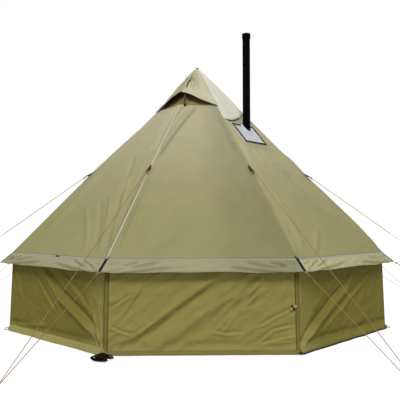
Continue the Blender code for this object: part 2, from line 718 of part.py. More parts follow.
def make_flue_cap():
    """A spark arrestor: a cup over the flue's end, with smoke slots round its side."""
    base = FLUE_TOP - CAP_OVERLAP
    crown = base + CAP_HEIGHT
    seat = FLUE_TOP + SEAM_GAP
    cap = turned("flue_cap", FLUE_CENTRE, [
        (0.0, crown), (CAP_RADIUS, crown), (CAP_RADIUS, base), (FLUE_RADIUS + SEAM_GAP, base),
        (FLUE_RADIUS + SEAM_GAP, seat), (FLUE_BORE, seat), (FLUE_BORE, crown - FLUE_WALL),
        (0.0, crown - FLUE_WALL),
    ], "black_steel")
    middle = (seat + crown - FLUE_WALL) / 2
    long, wide, tall = CAP_RADIUS + OVERRUN, CAP_SLOT_WIDTH / 2, CAP_SLOT_HEIGHT / 2
    for i in range(CAP_SLOT_PAIRS):
        slot = box(f"cap_slot_cutter_{i + 1}", (-long, -wide, -tall), (long, wide, tall))
        slot.location = (FLUE_CENTRE.x, FLUE_CENTRE.y, middle)
        slot.rotation_euler = (0.0, 0.0, math.pi * (i + 0.5) / CAP_SLOT_PAIRS)
        boolean(cap, slot)


def make_damper():
    """A butterfly plate on a rod through the flue, open at rest, with a grip on the stove's door side."""
    middle = Vector((FLUE_CENTRE.x, FLUE_CENTRE.y, DAMPER_HEIGHT))
    ahead, across = Vector((0.0, 1.0, 0.0)), Vector((1.0, 0.0, 0.0))
    tail = middle - ahead * (FLUE_RADIUS + DAMPER_TAIL)
    end = middle + ahead * (FLUE_RADIUS + DAMPER_HANDLE)
    rod = tube("flue_damper", [tail, end], DAMPER_ROD_RADIUS, "bare_steel", SMALL_ROUND)
    half = across * DAMPER_THICK / 2
    plate = tube("damper_plate_tool", [middle - half, middle + half], DAMPER_PLATE_RADIUS, None, ROUND)
    boolean(rod, plate, "UNION")
    half = across * DAMPER_GRIP / 2
    grip = tube("damper_grip_tool", [end - half, end + half], DAMPER_GRIP_RADIUS, None, SMALL_ROUND)
    boolean(rod, grip, "UNION")


def make_stove():
    x, wide = FLUE_CENTRE.x, STOVE_WIDTH / 2
    low, high = (x - wide, STOVE_REAR, STOVE_LEG), (x + wide, STOVE_FRONT, STOVE_TOP)
    body = box("stove_body", low, high, "black_steel")
    inside = STOVE_WALL / 2
    for i, (left, rear) in enumerate(((True, True), (False, True), (True, False), (False, False))):
        x0 = x - wide if left else x + wide - STOVE_LEG_WIDTH
        y0 = STOVE_REAR if rear else STOVE_FRONT - STOVE_LEG_WIDTH
        leg = box(f"leg_tool_{i + 1}", (x0 + inside, y0 + inside, 0.0),
                  (x0 + STOVE_LEG_WIDTH - inside, y0 + STOVE_LEG_WIDTH - inside, STOVE_LEG + inside))
        boolean(body, leg, "UNION")
    boolean(body, disc("collar_tool", STOVE_TOP - inside, STOVE_TOP + FLUE_SOCKET, NECK_RADIUS), "UNION")
    for name, low, high in hinge_lugs() + latch_keeper():
        boolean(body, box(name, low, high), "UNION")
    for name, low, high in hinge_lugs():
        barrel = [(0.0, low[2]), (KNUCKLE_RADIUS, low[2]), (KNUCKLE_RADIUS, high[2]), (0.0, high[2])]
        hinge = (DOOR_HINGE_X, DOOR_HINGE_Y)
        boolean(body, turned(f"{name}_barrel", hinge, barrel, None, SMALL_ROUND), "UNION")
    wall, border = STOVE_WALL, STOVE_MOUTH_BORDER
    boolean(body, box("firebox_cutter", (x - wide + wall, STOVE_REAR + wall, STOVE_LEG + wall),
                      (x + wide - wall, STOVE_FRONT - wall, STOVE_TOP - wall)))
    boolean(body, box("mouth_cutter", (x - wide + border, STOVE_FRONT - OVERRUN, STOVE_LEG + border),
                      (x + wide - border, STOVE_FRONT + OVERRUN, STOVE_TOP - border)))
    collar_top = STOVE_TOP + FLUE_SOCKET
    boolean(body, disc("flue_hole_cutter", STOVE_TOP - OVERRUN, collar_top + OVERRUN, NECK_BORE))


DOOR_HINGE_X = FLUE_CENTRE.x + STOVE_WIDTH / 2 - STOVE_MOUTH_BORDER + DOOR_LAP
DOOR_HINGE_Y = STOVE_FRONT + KNUCKLE_RADIUS + SEAM_GAP
DOOR_MIDDLE = STOVE_LEG + STOVE_HEIGHT / 2
DOOR_FREE_X = FLUE_CENTRE.x - STOVE_WIDTH / 2 + STOVE_MOUTH_BORDER - DOOR_LAP
DOOR_FACE = STOVE_FRONT + SEAM_GAP + DOOR_PLATE
LATCH_PIVOT_X = DOOR_FREE_X + LATCH_LENGTH / 2
LATCH_FACE = DOOR_FACE + SEAM_GAP + LATCH_THICK


def hinge_lugs():
    """The stove's two hinge lugs, above and below the door's knuckle, as far out as the hinge's axis."""
    lugs = []
    for label, sign in (("low", -1), ("high", 1)):
        near = DOOR_MIDDLE + sign * (KNUCKLE_LENGTH / 2 + SEAM_GAP)
        far = near + sign * KNUCKLE_LENGTH / 2
        lugs.append((
            f"hinge_lug_{label}_tool",
            (DOOR_HINGE_X - KNUCKLE_RADIUS, STOVE_FRONT - STOVE_WALL / 2, min(near, far)),
            (DOOR_HINGE_X + KNUCKLE_RADIUS, DOOR_HINGE_Y, max(near, far)),
        ))
    return lugs


def latch_keeper():
    """The hook on the stove's front that the latch bar turns up under. At rest the bar hangs."""
    right = DOOR_FREE_X - SEAM_GAP
    left = right - KEEPER_DEEP
    over = DOOR_MIDDLE + LATCH_WIDTH / 2 + SEAM_GAP
    back = STOVE_FRONT - STOVE_WALL / 2
    lip = LATCH_FACE + SEAM_GAP
    front = lip + STOVE_WALL
    return [
        ("keeper_top_tool", (left, back, over), (right, front, over + STOVE_WALL)),
        ("keeper_lip_tool", (left, lip, DOOR_MIDDLE), (right, front, over + STOVE_WALL / 2)),
    ]


def make_stove_door():
    low = STOVE_LEG + STOVE_MOUTH_BORDER - DOOR_LAP
    high = STOVE_TOP - STOVE_MOUTH_BORDER + DOOR_LAP
    edge = DOOR_HINGE_X - KNUCKLE_RADIUS - SEAM_GAP * 2
    hinge = (DOOR_HINGE_X, DOOR_HINGE_Y, DOOR_MIDDLE)
    near = STOVE_FRONT + SEAM_GAP
    plate = box("stove_door", (DOOR_FREE_X, near, low), (edge, DOOR_FACE, high), "black_steel", hinge)
    half = KNUCKLE_LENGTH / 2
    tongue = box("door_tongue_tool", (edge - KNUCKLE_RADIUS, near + SEAM_GAP, DOOR_MIDDLE - half + SEAM_GAP),
                 (DOOR_HINGE_X, DOOR_FACE - SEAM_GAP, DOOR_MIDDLE + half - SEAM_GAP))
    boolean(plate, tongue, "UNION")
    bottom, top = DOOR_MIDDLE - half, DOOR_MIDDLE + half
    knuckle = turned("door_knuckle_tool", (DOOR_HINGE_X, DOOR_HINGE_Y), [
        (0.0, bottom), (KNUCKLE_RADIUS, bottom), (KNUCKLE_RADIUS, top), (0.0, top),
    ], None, SMALL_ROUND)
    boolean(plate, knuckle, "UNION")
    pivot = Vector((LATCH_PIVOT_X, DOOR_FACE + SEAM_GAP, DOOR_MIDDLE))
    reach = LATCH_PIVOT_X - DOOR_FREE_X + KEEPER_DEEP
    half = LATCH_WIDTH / 2
    bar = box("stove_latch", (LATCH_PIVOT_X - half, pivot.y, DOOR_MIDDLE - reach),
              (LATCH_PIVOT_X + half, LATCH_FACE, DOOR_MIDDLE + half), "bare_steel", pivot)
    ahead = Vector((0.0, 1.0, 0.0))
    knob = tube("latch_knob_tool", [pivot + ahead * LATCH_THICK / 2, pivot + ahead * LATCH_KNOB_LENGTH],
                LATCH_KNOB_RADIUS, None, SMALL_ROUND)
    boolean(bar, knob, "UNION")


clear_scene()
make_roof()
make_walls()
make_skirt()
make_door()
make_hood()
make_prop()
make_pole()
make_guys()
make_jack()
make_flue()
make_flue_cap()
make_damper()
make_stove()
make_stove_door()
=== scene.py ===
"""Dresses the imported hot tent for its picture: slack cloth with its folds, seams, tapes, ropes and fittings.

Metres, +Z up, in the frame of the CAD model: the front face looks along -Y.
"""

import math
import random

import bpy
from mathutils import Matrix, Vector, noise


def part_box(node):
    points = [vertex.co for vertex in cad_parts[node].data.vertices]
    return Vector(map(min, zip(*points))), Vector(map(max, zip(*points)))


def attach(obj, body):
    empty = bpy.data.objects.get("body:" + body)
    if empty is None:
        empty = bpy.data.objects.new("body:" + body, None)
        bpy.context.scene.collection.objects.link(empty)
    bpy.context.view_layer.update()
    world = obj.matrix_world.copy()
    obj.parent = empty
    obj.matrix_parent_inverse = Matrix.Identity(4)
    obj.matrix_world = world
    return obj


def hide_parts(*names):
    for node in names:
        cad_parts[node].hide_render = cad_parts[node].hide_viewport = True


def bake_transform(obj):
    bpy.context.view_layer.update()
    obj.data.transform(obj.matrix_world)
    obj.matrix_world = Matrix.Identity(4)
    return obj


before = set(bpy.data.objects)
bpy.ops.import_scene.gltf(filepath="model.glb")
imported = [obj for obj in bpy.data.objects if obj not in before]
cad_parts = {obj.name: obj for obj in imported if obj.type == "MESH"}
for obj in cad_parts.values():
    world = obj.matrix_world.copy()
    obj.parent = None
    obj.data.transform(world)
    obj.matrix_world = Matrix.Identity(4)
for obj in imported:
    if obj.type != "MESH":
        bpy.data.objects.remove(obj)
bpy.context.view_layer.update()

# The camera, where the photograph was taken from
CAMERA_PLACE = (-0.131, -6.149, 1.022)
CAMERA_TURN = (math.radians(92.63), 0.0, math.radians(-1.495))
CAMERA_LENS = 48.76
CAMERA_SENSOR = 36.0

# Driving sizes of the tent, as in the CAD model
SIDES = 8
BASE_RADIUS = 2.0
EAVE_RADIUS = 1.980
EAVE_HEIGHT = 0.752
PEAK_HEIGHT = 2.817
SKIRT_REACH = 0.113
SKIRT_DROP = 0.094
CLOTH = 0.003
LAYER_GAP = 0.0006
ROOF_START = 0.060
CAP_START = 0.0127
CAP_HEM = 0.700
VENT_TOP = 0.330
VENT_BOTTOM = 0.690
VENT_MARGIN = 0.060
AWNING_TIP = 0.580
AWNING_ROOM = 0.012
AWNING_OPEN = math.radians(6.0)
PROP_OPEN = math.radians(17.5)
STITCH_RADIUS = 0.0006
ROPE_RADIUS = 0.0025
ROPE_KNOT_HEIGHT = 1.507
ROPE_STAND_OFF = 0.024
STAKE_RADIUS = 3.28
ROPE_REST_HEIGHT = 0.030
PEG_RADIUS = 0.005
DOOR_HALF = 0.38
DOOR_TOP_HEIGHT = 1.45
DOOR_SILL = 0.045
DOOR_GAP = 0.0012
JACK_WIDTH = 0.350
JACK_LENGTH = 0.290
JACK_CENTRE = 1.135
JACK_BORDER = 0.022
FLUE_RADIUS = 0.040
FLUE_DOWN = 1.079
FLUE_JOINT = 2.196
FLUE_SEAM_ENDS = (0.49, 2.985)

STEP = math.tau / SIDES
HALF_SHARE = math.tan(STEP / 2)
EAVE_OUT = EAVE_RADIUS * math.cos(STEP / 2)
BASE_OUT = BASE_RADIUS * math.cos(STEP / 2)
SLOPE = math.atan2(PEAK_HEIGHT - EAVE_HEIGHT, EAVE_OUT)
RIB_SLOPE = math.atan2(PEAK_HEIGHT - EAVE_HEIGHT, EAVE_RADIUS)
EAVE_DOWN = (PEAK_HEIGHT - EAVE_HEIGHT) / math.sin(SLOPE)
SKIRT_OUT = (EAVE_RADIUS + SKIRT_REACH) * math.cos(STEP / 2)
SKIRT_LENGTH = math.hypot(SKIRT_OUT - EAVE_OUT, SKIRT_DROP)
SKIRT_FALL = math.atan2(SKIRT_DROP, SKIRT_OUT - EAVE_OUT)
SKIRT_HALF = EAVE_OUT * HALF_SHARE
WALL_TOP_OUT = EAVE_OUT - CLOTH
WALL_TOP = PEAK_HEIGHT - WALL_TOP_OUT * math.tan(SLOPE) - CLOTH / math.cos(SLOPE)
WALL_LEAN = math.atan2(BASE_OUT - WALL_TOP_OUT, WALL_TOP)
DOOR_TOP = (PEAK_HEIGHT - DOOR_TOP_HEIGHT) / math.sin(SLOPE)
KNOT_DOWN = (PEAK_HEIGHT - ROPE_KNOT_HEIGHT) / math.sin(SLOPE)
FRONT, FRONT_RIGHT, BACK, FRONT_LEFT = 0, 1, 4, 7
FINE_FACES = (FRONT, FRONT_RIGHT, FRONT_LEFT)
PEAK = Vector((0.0, 0.0, PEAK_HEIGHT))
ACROSS, BEHIND, UP = Vector((1.0, 0.0, 0.0)), Vector((0.0, 1.0, 0.0)), Vector((0.0, 0.0, 1.0))
FACE_NAMES = ("front", "front_right", "right", "back_right", "back", "back_left", "left", "front_left")


# Camera

def make_camera():
    data = bpy.data.cameras.new("photo_camera")
    data.lens = CAMERA_LENS
    data.sensor_width = CAMERA_SENSOR
    data.clip_end = 200.0
    camera = bpy.data.objects.new("photo_camera", data)
    camera.location = CAMERA_PLACE
    camera.rotation_euler = CAMERA_TURN
    bpy.context.collection.objects.link(camera)
    bpy.context.scene.camera = camera


make_camera()


# Materials

def linear(colour):
    """A colour of 0 to 255 in each channel as linear values."""
    return tuple(v / 3294.6 if v <= 10.3 else ((v / 255 + 0.055) / 1.055) ** 2.4 for v in colour)


def scaled(colour, factor):
    return tuple(v * factor for v in colour)


def grey(value):
    return (value, value, value)


def add_node(tree, kind, values=(), **settings):
    """A node with its settings, and each of its inputs given as a value or a socket to join."""
    node = tree.nodes.new(kind)
    for key, value in settings.items():
        setattr(node, key, value)
    for key, value in dict(values).items():
        if isinstance(value, bpy.types.NodeSocket):
            tree.links.new(value, node.inputs[key])
        else:
            node.inputs[key].default_value = value
    return node


class Nodes:
    """A material's node tree, with short ways to add and join nodes."""

    def __init__(self, name, roughness, metallic=0.0, gloss=None):
        self.material = bpy.data.materials.new(name)
        self.material.use_nodes = True
        self.tree = self.material.node_tree
        self.shader = self.tree.nodes["Principled BSDF"]
        self.set("Roughness", roughness)
        self.set("Metallic", metallic)
        if gloss is not None:
            self.set("Specular IOR Level", gloss)
        self.place = self.add("ShaderNodeTexCoord").outputs["Object"]

    def add(self, kind, values=(), **settings):
        return add_node(self.tree, kind, values, **settings)

    def set(self, key, value):
        """Sets one of the shader's inputs to a value, or joins a socket to it."""
        if isinstance(value, bpy.types.NodeSocket):
            self.tree.links.new(value, self.shader.inputs[key])
        else:
            self.shader.inputs[key].default_value = value

    def noise(self, scale, detail=3.0, distortion=0.0):
        return self.add("ShaderNodeTexNoise", {"Scale": scale, "Detail": detail, "Distortion": distortion,
                                               "Vector": self.place}).outputs["Fac"]

    def along(self, axis, start, end):
        """How far a point is from one place to another along an axis, 0 to 1."""
        split = self.add("ShaderNodeSeparateXYZ", {"Vector": self.place})
        values = {"From Min": start, "From Max": end, "Value": split.outputs[axis]}
        return self.add("ShaderNodeMapRange", values, interpolation_type="SMOOTHSTEP").outputs["Result"]

    def math(self, operation, a, b):
        return self.add("ShaderNodeMath", {0: a, 1: b}, operation=operation).outputs["Value"]

    def panels(self, shades):
        """Painted light and shade for each sewn panel, from (across / toward the front, shade) stops."""
        split = self.add("ShaderNodeSeparateXYZ", {"Vector": self.place})
        toward = self.math("MULTIPLY", split.outputs["Y"], -1.0)
        turned = self.math("DIVIDE", split.outputs["X"], toward)
        values = {"From Min": -PANEL_REACH, "From Max": PANEL_REACH, "Value": turned}
        share = self.add("ShaderNodeMapRange", values)
        stops = [((place + PANEL_REACH) / (2 * PANEL_REACH), grey(shade)) for place, shade in shades]
        return self.stops(share.outputs["Result"], stops)

    def bands(self, scale, direction):
        return self.add("ShaderNodeTexWave", {"Scale": scale, "Distortion": 0.0, "Vector": self.place},
                        bands_direction=direction).outputs["Fac"]

    def stops(self, factor, stops):
        """A colour for each value, from (value, colour) stops."""
        node = self.add("ShaderNodeValToRGB", {"Fac": factor})
        elements = node.color_ramp.elements
        while len(elements) < len(stops):
            elements.new(0.5)
        for element, (place, colour) in zip(elements, stops):
            element.position = place
            element.color = (*colour, 1.0)
        return node.outputs["Color"]

    def ramp(self, factor, low, high, start=0.35, end=0.65):
        return self.stops(factor, [(start, low), (end, high)])

    def mix(self, kind, factor, a, b):
        node = self.add("ShaderNodeMix", {0: factor, 6: a, 7: b}, data_type="RGBA", blend_type=kind)
        return node.outputs[2]

    def rough(self, factor, low, high):
        self.set("Roughness", self.add("ShaderNodeMapRange", {"To Min": low, "To Max": high,
                                                              "Value": factor}).outputs["Result"])

    def bump(self, height, strength, distance, before=None):
        values = {"Strength": strength, "Distance": distance, "Height": height}
        if before:
            values["Normal"] = before
        normal = self.add("ShaderNodeBump", values).outputs["Normal"]
        self.set("Normal", normal)
        return normal


def cloth_material(name, colour, high=None, levels=(0.7, 2.7), grain=260.0, crinkle=0.35, rough=0.85,
                   large=0.010, front=None, panels=None):
    """Woven polyester-cotton: a fine weave, mottling and small crinkles. Painted light makes it paler at its
    top or front and lighter under the eave, and shades each panel differently.
    """
    nodes = Nodes(name, rough, gloss=0.06)

    def mottled(shade, spread):
        base = linear(shade)
        return nodes.ramp(nodes.noise(6.0, 5.0), scaled(base, 1 - spread), scaled(base, 1 + spread))

    cloth = mottled(colour, 0.025)
    # Painted light: a paler colour towards the top, as if more light falls there
    if high:
        painted_top_light = mottled(high, 0.02)
        cloth = nodes.mix("MIX", nodes.along("Z", *levels), cloth, painted_top_light)
    # Painted light: faces towards the front are paler, as if lit more
    if front:
        painted_front_light = mottled(front, 0.02)
        cloth = nodes.mix("MIX", nodes.along("Y", -1.60, -1.80), cloth, painted_front_light)
        # Painted light: the cloth below 0.5 m is darkened, so that the top under the eave, in the skirt's
        # shadow, stays lighter
        painted_eave_light = nodes.ramp(nodes.along("Z", 0.50, 0.62), grey(0.72), grey(1.0), 0.0, 1.0)
        cloth = nodes.mix("MULTIPLY", 1.0, cloth, painted_eave_light)
    # Painted light and shade: each panel lighter or darker as the light falls on it
    if panels:
        cloth = nodes.mix("MULTIPLY", 1.0, cloth, nodes.panels(panels))
    speckle = nodes.ramp(nodes.noise(grain, 2.0), grey(0.93), grey(1.0), 0.3, 0.7)
    nodes.set("Base Color", nodes.mix("MULTIPLY", 1.0, cloth, speckle))
    nodes.set("Sheen Weight", 0.015)
    nodes.set("Sheen Roughness", 0.5)
    first = nodes.bump(nodes.noise(9.0, 5.0, 0.6), crinkle, large)
    second = nodes.bump(nodes.noise(34.0, 4.0, 0.8), crinkle, 0.0030, first)
    nodes.bump(nodes.noise(grain * 2.4, 1.0), 0.16, 0.0006, second)
    nodes.rough(nodes.noise(5.0, 3.0), rough - 0.06, rough + 0.06)
    return nodes.material


def plain_material(name, colour, roughness, metallic=0.0, scale=60.0, bump=0.15, spread=0.10, detail=3.0,
                   gloss=0.4):
    """A hard finish with slight changes of colour and gloss, and a fine uneven surface."""
    nodes = Nodes(name, roughness, metallic, gloss)
    base = linear(colour)
    grain = nodes.noise(scale, detail)
    nodes.set("Base Color", nodes.ramp(grain, scaled(base, 1 - spread), scaled(base, 1 + spread), 0.3, 0.7))
    nodes.rough(nodes.noise(scale / 3, 3.0), max(0.05, roughness - 0.08), min(1.0, roughness + 0.08))
    nodes.bump(grain, bump, 0.0006)
    return nodes.material


def webbing_material(name, colour):
    """Narrow woven tape: close ribs along and across."""
    nodes = Nodes(name, 0.8, gloss=0.12)
    base = linear(colour)
    ribs = nodes.bands(170.0, "DIAGONAL")
    nodes.set("Base Color", nodes.ramp(ribs, scaled(base, 0.7), scaled(base, 1.4), 0.2, 0.8))
    first = nodes.bump(ribs, 0.4, 0.0008)
    nodes.bump(nodes.noise(420.0, 2.0), 0.3, 0.0004, first)
    return nodes.material


def tape_material(name, colour):
    """Reflective tape: grey glass beads in a faint honeycomb."""
    nodes = Nodes(name, 0.45, 0.15)
    base = linear(colour)
    cells = nodes.add("ShaderNodeTexVoronoi", {"Scale": 120.0, "Vector": nodes.place}).outputs["Distance"]
    nodes.set("Base Color", nodes.ramp(cells, scaled(base, 1.08), scaled(base, 0.86), 0.1, 0.6))
    nodes.bump(cells, 0.2, 0.0004)
    return nodes.material


def rope_material(name, dark, light):
    """Braided cord with lighter flecks."""
    nodes = Nodes(name, 0.75)
    flecks = nodes.noise(150.0, 2.0, 1.5)
    nodes.set("Base Color", nodes.ramp(flecks, linear(dark), linear(light), 0.4, 0.62))
    first = nodes.bump(nodes.bands(260.0, "DIAGONAL"), 0.35, 0.0008)
    nodes.bump(nodes.noise(700.0, 1.0), 0.3, 0.0004, first)
    return nodes.material


def mesh_material(name, colour):
    """Insect mesh: a fine square net."""
    nodes = Nodes(name, 0.8, gloss=0.15)
    base = linear(colour)
    across = nodes.ramp(nodes.bands(210.0, "X"), scaled(base, 0.5), base, 0.3, 0.6)
    up = nodes.ramp(nodes.bands(210.0, "Z"), grey(0.5), grey(1.0), 0.3, 0.6)
    nodes.set("Base Color", nodes.mix("MULTIPLY", 1.0, across, up))
    nodes.bump(nodes.bands(210.0, "X"), 0.3, 0.0006)
    return nodes.material


# Painted light and shade on the sewn panels as (across / toward the front, shade), from one end of the reach
# on
PANEL_REACH = 2.0
PANEL_PAINTED_LIGHT = [(-PANEL_REACH, 0.893), (-1.3, 0.9), (-0.6, 0.945), (-0.425, 0.945), (-0.41, 0.895),
                (-0.02, 0.893), (0.1, 0.83), (0.18, 0.775), (0.28, 0.735), (0.408, 0.72), (0.425, 0.985),
                (0.6, 0.975), (0.9, 0.93), (1.3, 0.893)]
# Painted light: the skirt's right panel is lighter than the roof's, and the others a little darker
SKIRT_PAINTED_LIGHT = [(place, shade * (1.15 if place > 0.41 else 0.95)) for place, shade in PANEL_PAINTED_LIGHT]
# Painted light: the roof's cloth turns paler from 0.9 m up to 2.6 m, as if lit more towards the peak
ROOF = cloth_material("roof_fabric", (154, 151, 107), (189, 184, 152), (0.9, 2.6), crinkle=0.18,
                      panels=PANEL_PAINTED_LIGHT)
HOOD = cloth_material("hood_fabric", (192, 189, 160), crinkle=0.25)
SKIRT = cloth_material("skirt_fabric", (166, 164, 128), crinkle=0.3, panels=SKIRT_PAINTED_LIGHT)
# Painted light and shade: darker and paler copies of the hood cloth, the darker one for the awning's left half
# as if in shade, the paler one for the hood as if lit more
HOOD_SHADED = cloth_material("hood_fabric_painted_shade", (174, 170, 134), crinkle=0.25)
HOOD_LIT = cloth_material("hood_fabric_lit", (216, 215, 197), crinkle=0.25)
CORNER = cloth_material("corner_band_fabric", (120, 113, 58), crinkle=0.3)
# Painted shade: a darker cloth for the vents' edges and the rib between them, under the awning
SHADED = cloth_material("painted_shade_fabric", (120, 108, 64), crinkle=0.3)
# Painted light: the wall and hem cloths are paler on faces towards the front, and kept lighter at the top
# where the eave's shadow falls; the lighter hem copy below is for the front left band, as if lit more
WALL = cloth_material("wall_fabric", (143, 135, 64), crinkle=0.6, large=0.016, front=(167, 160, 88))
HEM = cloth_material("hem_fabric", (132, 125, 62), crinkle=0.6, large=0.016, front=(148, 142, 84))
HEM_LIT = cloth_material("hem_fabric_lit", (156, 150, 90), crinkle=0.6, large=0.016)
DARK_EDGE = cloth_material("hem_edge_fabric", (52, 54, 38), crinkle=0.3)
# Dark seams, and painted shadow in the strip beside the rib tape and in the awning's slit
SEAM_AND_SHADOW = cloth_material("seam_and_shadow_fabric", (84, 78, 38), crinkle=0.3)
JACK = cloth_material("heat_proof_fabric", (194, 199, 202), grain=420.0, crinkle=0.2, rough=0.5)
BINDING = webbing_material("navy_binding", (15, 16, 22))
TAPE = tape_material("reflective_grey", (146, 148, 140))
RIB_TAPE = tape_material("reflective_pale", (190, 188, 174))
STITCH = plain_material("stitching_thread", (120, 116, 80), 0.8, scale=500.0, gloss=0.2)
WEBBING = webbing_material("black_webbing", (17, 16, 15))
BROWN = webbing_material("brown_webbing", (58, 50, 30))
ROPE = rope_material("guy_cord", (120, 92, 50), (164, 128, 78))
NET = mesh_material("vent_net", (186, 164, 104))
STRUT = plain_material("strut_moulding", (62, 54, 32), 0.6, scale=140.0, gloss=0.15)
ORANGE = plain_material("orange_moulding", (104, 68, 38), 0.45, scale=140.0, gloss=0.2)
TOGGLE = plain_material("toggle_moulding", (194, 142, 108), 0.5, scale=140.0, gloss=0.2)
BLACK_PLASTIC = plain_material("black_moulding", (20, 20, 21), 0.5, scale=160.0, gloss=0.2)
RUBBER = plain_material("black_foot", (22, 22, 22), 0.85, scale=220.0, bump=0.3, gloss=0.15)
POLE_STEEL = plain_material("galvanised_steel", (168, 170, 172), 0.38, 1.0, scale=45.0)
PEG_STEEL = plain_material("peg_metal", (150, 150, 152), 0.42, 1.0, scale=120.0)
FITTING = plain_material("fitting_metal", (172, 172, 174), 0.3, 1.0, scale=150.0)
FLUE = plain_material("flue_enamel", (6, 6, 7), 0.7, scale=34.0, bump=0.2, spread=0.3, gloss=0.02)
STOVE = plain_material("stove_enamel", (20, 20, 21), 0.7, scale=70.0, bump=0.35, spread=0.25, detail=6.0,
                       gloss=0.15)
TIP = plain_material("tip_cap", (112, 58, 38), 0.6, scale=180.0, gloss=0.2)


# Making pieces

def piece(name, points, faces, finish, body="root", soft_edges=40.0):
    mesh = bpy.data.meshes.new(name)
    mesh.from_pydata([tuple(p) for p in points], [], faces)
    mesh.update()
    mesh.materials.append(finish)
    mesh.shade_smooth()
    mesh.set_sharp_from_angle(angle=math.radians(soft_edges))
    made = bpy.data.objects.new(name, mesh)
    bpy.context.collection.objects.link(made)
    if body:
        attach(made, body)
    return made


def grid_piece(name, rows, finish, body="root", wrap=False, skip=None, thick=CLOTH):
    """A sheet through rows of outer points. Its rows run so that right-hand quads face out."""
    width = len(rows[0])
    points = [p for row in rows for p in row]
    faces = []
    for i in range(len(rows) - 1):
        for j in range(width if wrap else width - 1):
            if not (skip and skip(i, j)):
                k = (j + 1) % width
                faces.append((i * width + j, (i + 1) * width + j, (i + 1) * width + k, i * width + k))
    used = sorted({v for face in faces for v in face})
    index = {v: n for n, v in enumerate(used)}
    faces = [tuple(index[v] for v in face) for face in faces]
    made = piece(name, [points[v] for v in used], faces, finish, body, 50.0)
    solid = made.modifiers.new("cloth_thickness", "SOLIDIFY")
    solid.thickness = thick
    solid.offset = -1.0
    return made


def merged(name, solids, finish, body="root", soft_edges=40.0):
    """One piece of several closed solids, each given as (points, faces)."""
    points, faces = [], []
    for some, theirs in solids:
        start = len(points)
        points += some
        faces += [tuple(v + start for v in face) for face in theirs]
    return piece(name, points, faces, finish, body, soft_edges)


def outward(points, faces):
    volume = 0.0
    for face in faces:
        first = points[face[0]]
        for i in range(1, len(face) - 1):
            volume += first.dot(points[face[i]].cross(points[face[i + 1]]))
    return faces if volume > 0 else [tuple(reversed(face)) for face in faces]


def loft_solid(rings, closed_loop=False):
    """A closed solid through rings of points, with ends, or with its last ring joined to its first."""
    size, count = len(rings[0]), len(rings)
    faces = []
    for i in range(count if closed_loop else count - 1):
        after = (i + 1) % count
        for j in range(size):
            k = (j + 1) % size
            faces.append((i * size + j, i * size + k, after * size + k, after * size + j))
    if not closed_loop:
        faces.append(tuple(reversed(range(size))))
        faces.append(tuple((count - 1) * size + j for j in range(size)))
    points = [Vector(p) for ring in rings for p in ring]
    return points, outward(points, faces)


def strip_solid(rows, normals, lift, thick):
    """A thin tape over rows of surface points across it, with one normal for all or one for each point."""
    if isinstance(normals, Vector):
        normals = [[normals] * len(rows[0])] * len(rows)
    rings = []
    for row, normal in zip(rows, normals):
        outer = [p + n * (lift + thick) for p, n in zip(row, normal)]
        inner = [p + n * lift for p, n in zip(row, normal)]
        rings.append(outer + inner[::-1])
    return loft_solid(rings)


def square_to(axis):
    return axis.cross(UP if abs(axis.z) < 0.9 else ACROSS).normalized()


def tube_solid(path, radius, count=8, closed=False, lobes=0, pitch=0.04):
    """A round cord along a path. With lobes it shows its twisted strands."""
    rings = []
    side, along_before, travelled = None, None, 0.0
    total = len(path)
    for i, point in enumerate(path):
        before = path[i - 1] if i or closed else path[0]
        after = path[(i + 1) % total] if i + 1 < total or closed else path[-1]
        along = (after - before).normalized()
        if side is None:
            side = square_to(along)
        else:
            side = along_before.rotation_difference(along) @ side
            side = (side - along * side.dot(along)).normalized()
            travelled += (point - path[i - 1]).length
        along_before = along
        up = along.cross(side)
        ring = []
        for j in range(count):
            angle = math.tau * j / count
            reach = radius
            if lobes:
                reach *= 0.88 + 0.14 * abs(math.cos(lobes * (angle - math.tau * travelled / pitch) / 2))
            ring.append(point + (side * math.cos(angle) + up * math.sin(angle)) * reach)
        rings.append(ring)
    return loft_solid(rings, closed)


def ellipse(centre, first, second, count):
    """Points round a centre, from the end of one half axis towards the end of the other."""
    angles = [math.tau * i / count for i in range(count)]
    return [centre + first * math.cos(angle) + second * math.sin(angle) for angle in angles]


def turned_solid(origin, axis, profile, count=24):
    """A solid of (radius, distance along) points turned about an axis, with both ends closed."""
    side = square_to(axis)
    up = axis.cross(side)
    rings = [ellipse(origin + axis * along, side * radius, up * radius, count) for radius, along in profile]
    return loft_solid(rings)


def dense(path, step):
    """The same path with points no further apart than a step."""
    found = [path[0]]
    for a, b in zip(path, path[1:]):
        pieces = max(1, math.ceil((b - a).length / step))
        found += [a.lerp(b, (i + 1) / pieces) for i in range(pieces)]
    return found


def rounded(points, rounds=3):
    """A path with its corners cut off again and again, its ends kept."""
    for _ in range(rounds):
        cut = [points[0]]
        for a, b in zip(points, points[1:]):
            cut += [a.lerp(b, 0.25), a.lerp(b, 0.75)]
        points = cut + [points[-1]]
    return points


def spread(counts, marks):
    """Values through the marks, with a count of steps between each two."""
    found = []
    for count, a, b in zip(counts, marks, marks[1:]):
        found += [a + (b - a) * i / count for i in range(count)]
    return found + [marks[-1]]


def around(corners, count, place):
    """Points along the closed line through flat corners, each put in its place on a surface."""
    return [place(u0 + (u1 - u0) * i / count, v0 + (v1 - v0) * i / count)
            for (u0, v0), (u1, v1) in zip(corners, corners[1:] + corners[:1]) for i in range(count)]


# The tent's surfaces, each with its folds

def smoothstep(value):
    value = max(0.0, min(1.0, value))
    return value * value * (3 - 2 * value)


def bell(value, middle, width):
    """1 at the middle, and near 0 from two widths away."""
    return math.exp(-((value - middle) / width) ** 2)


def wavy(*place):
    return noise.noise(Vector(place))


def azimuth(turn):
    return Vector((math.sin(turn * STEP), -math.cos(turn * STEP), 0.0))


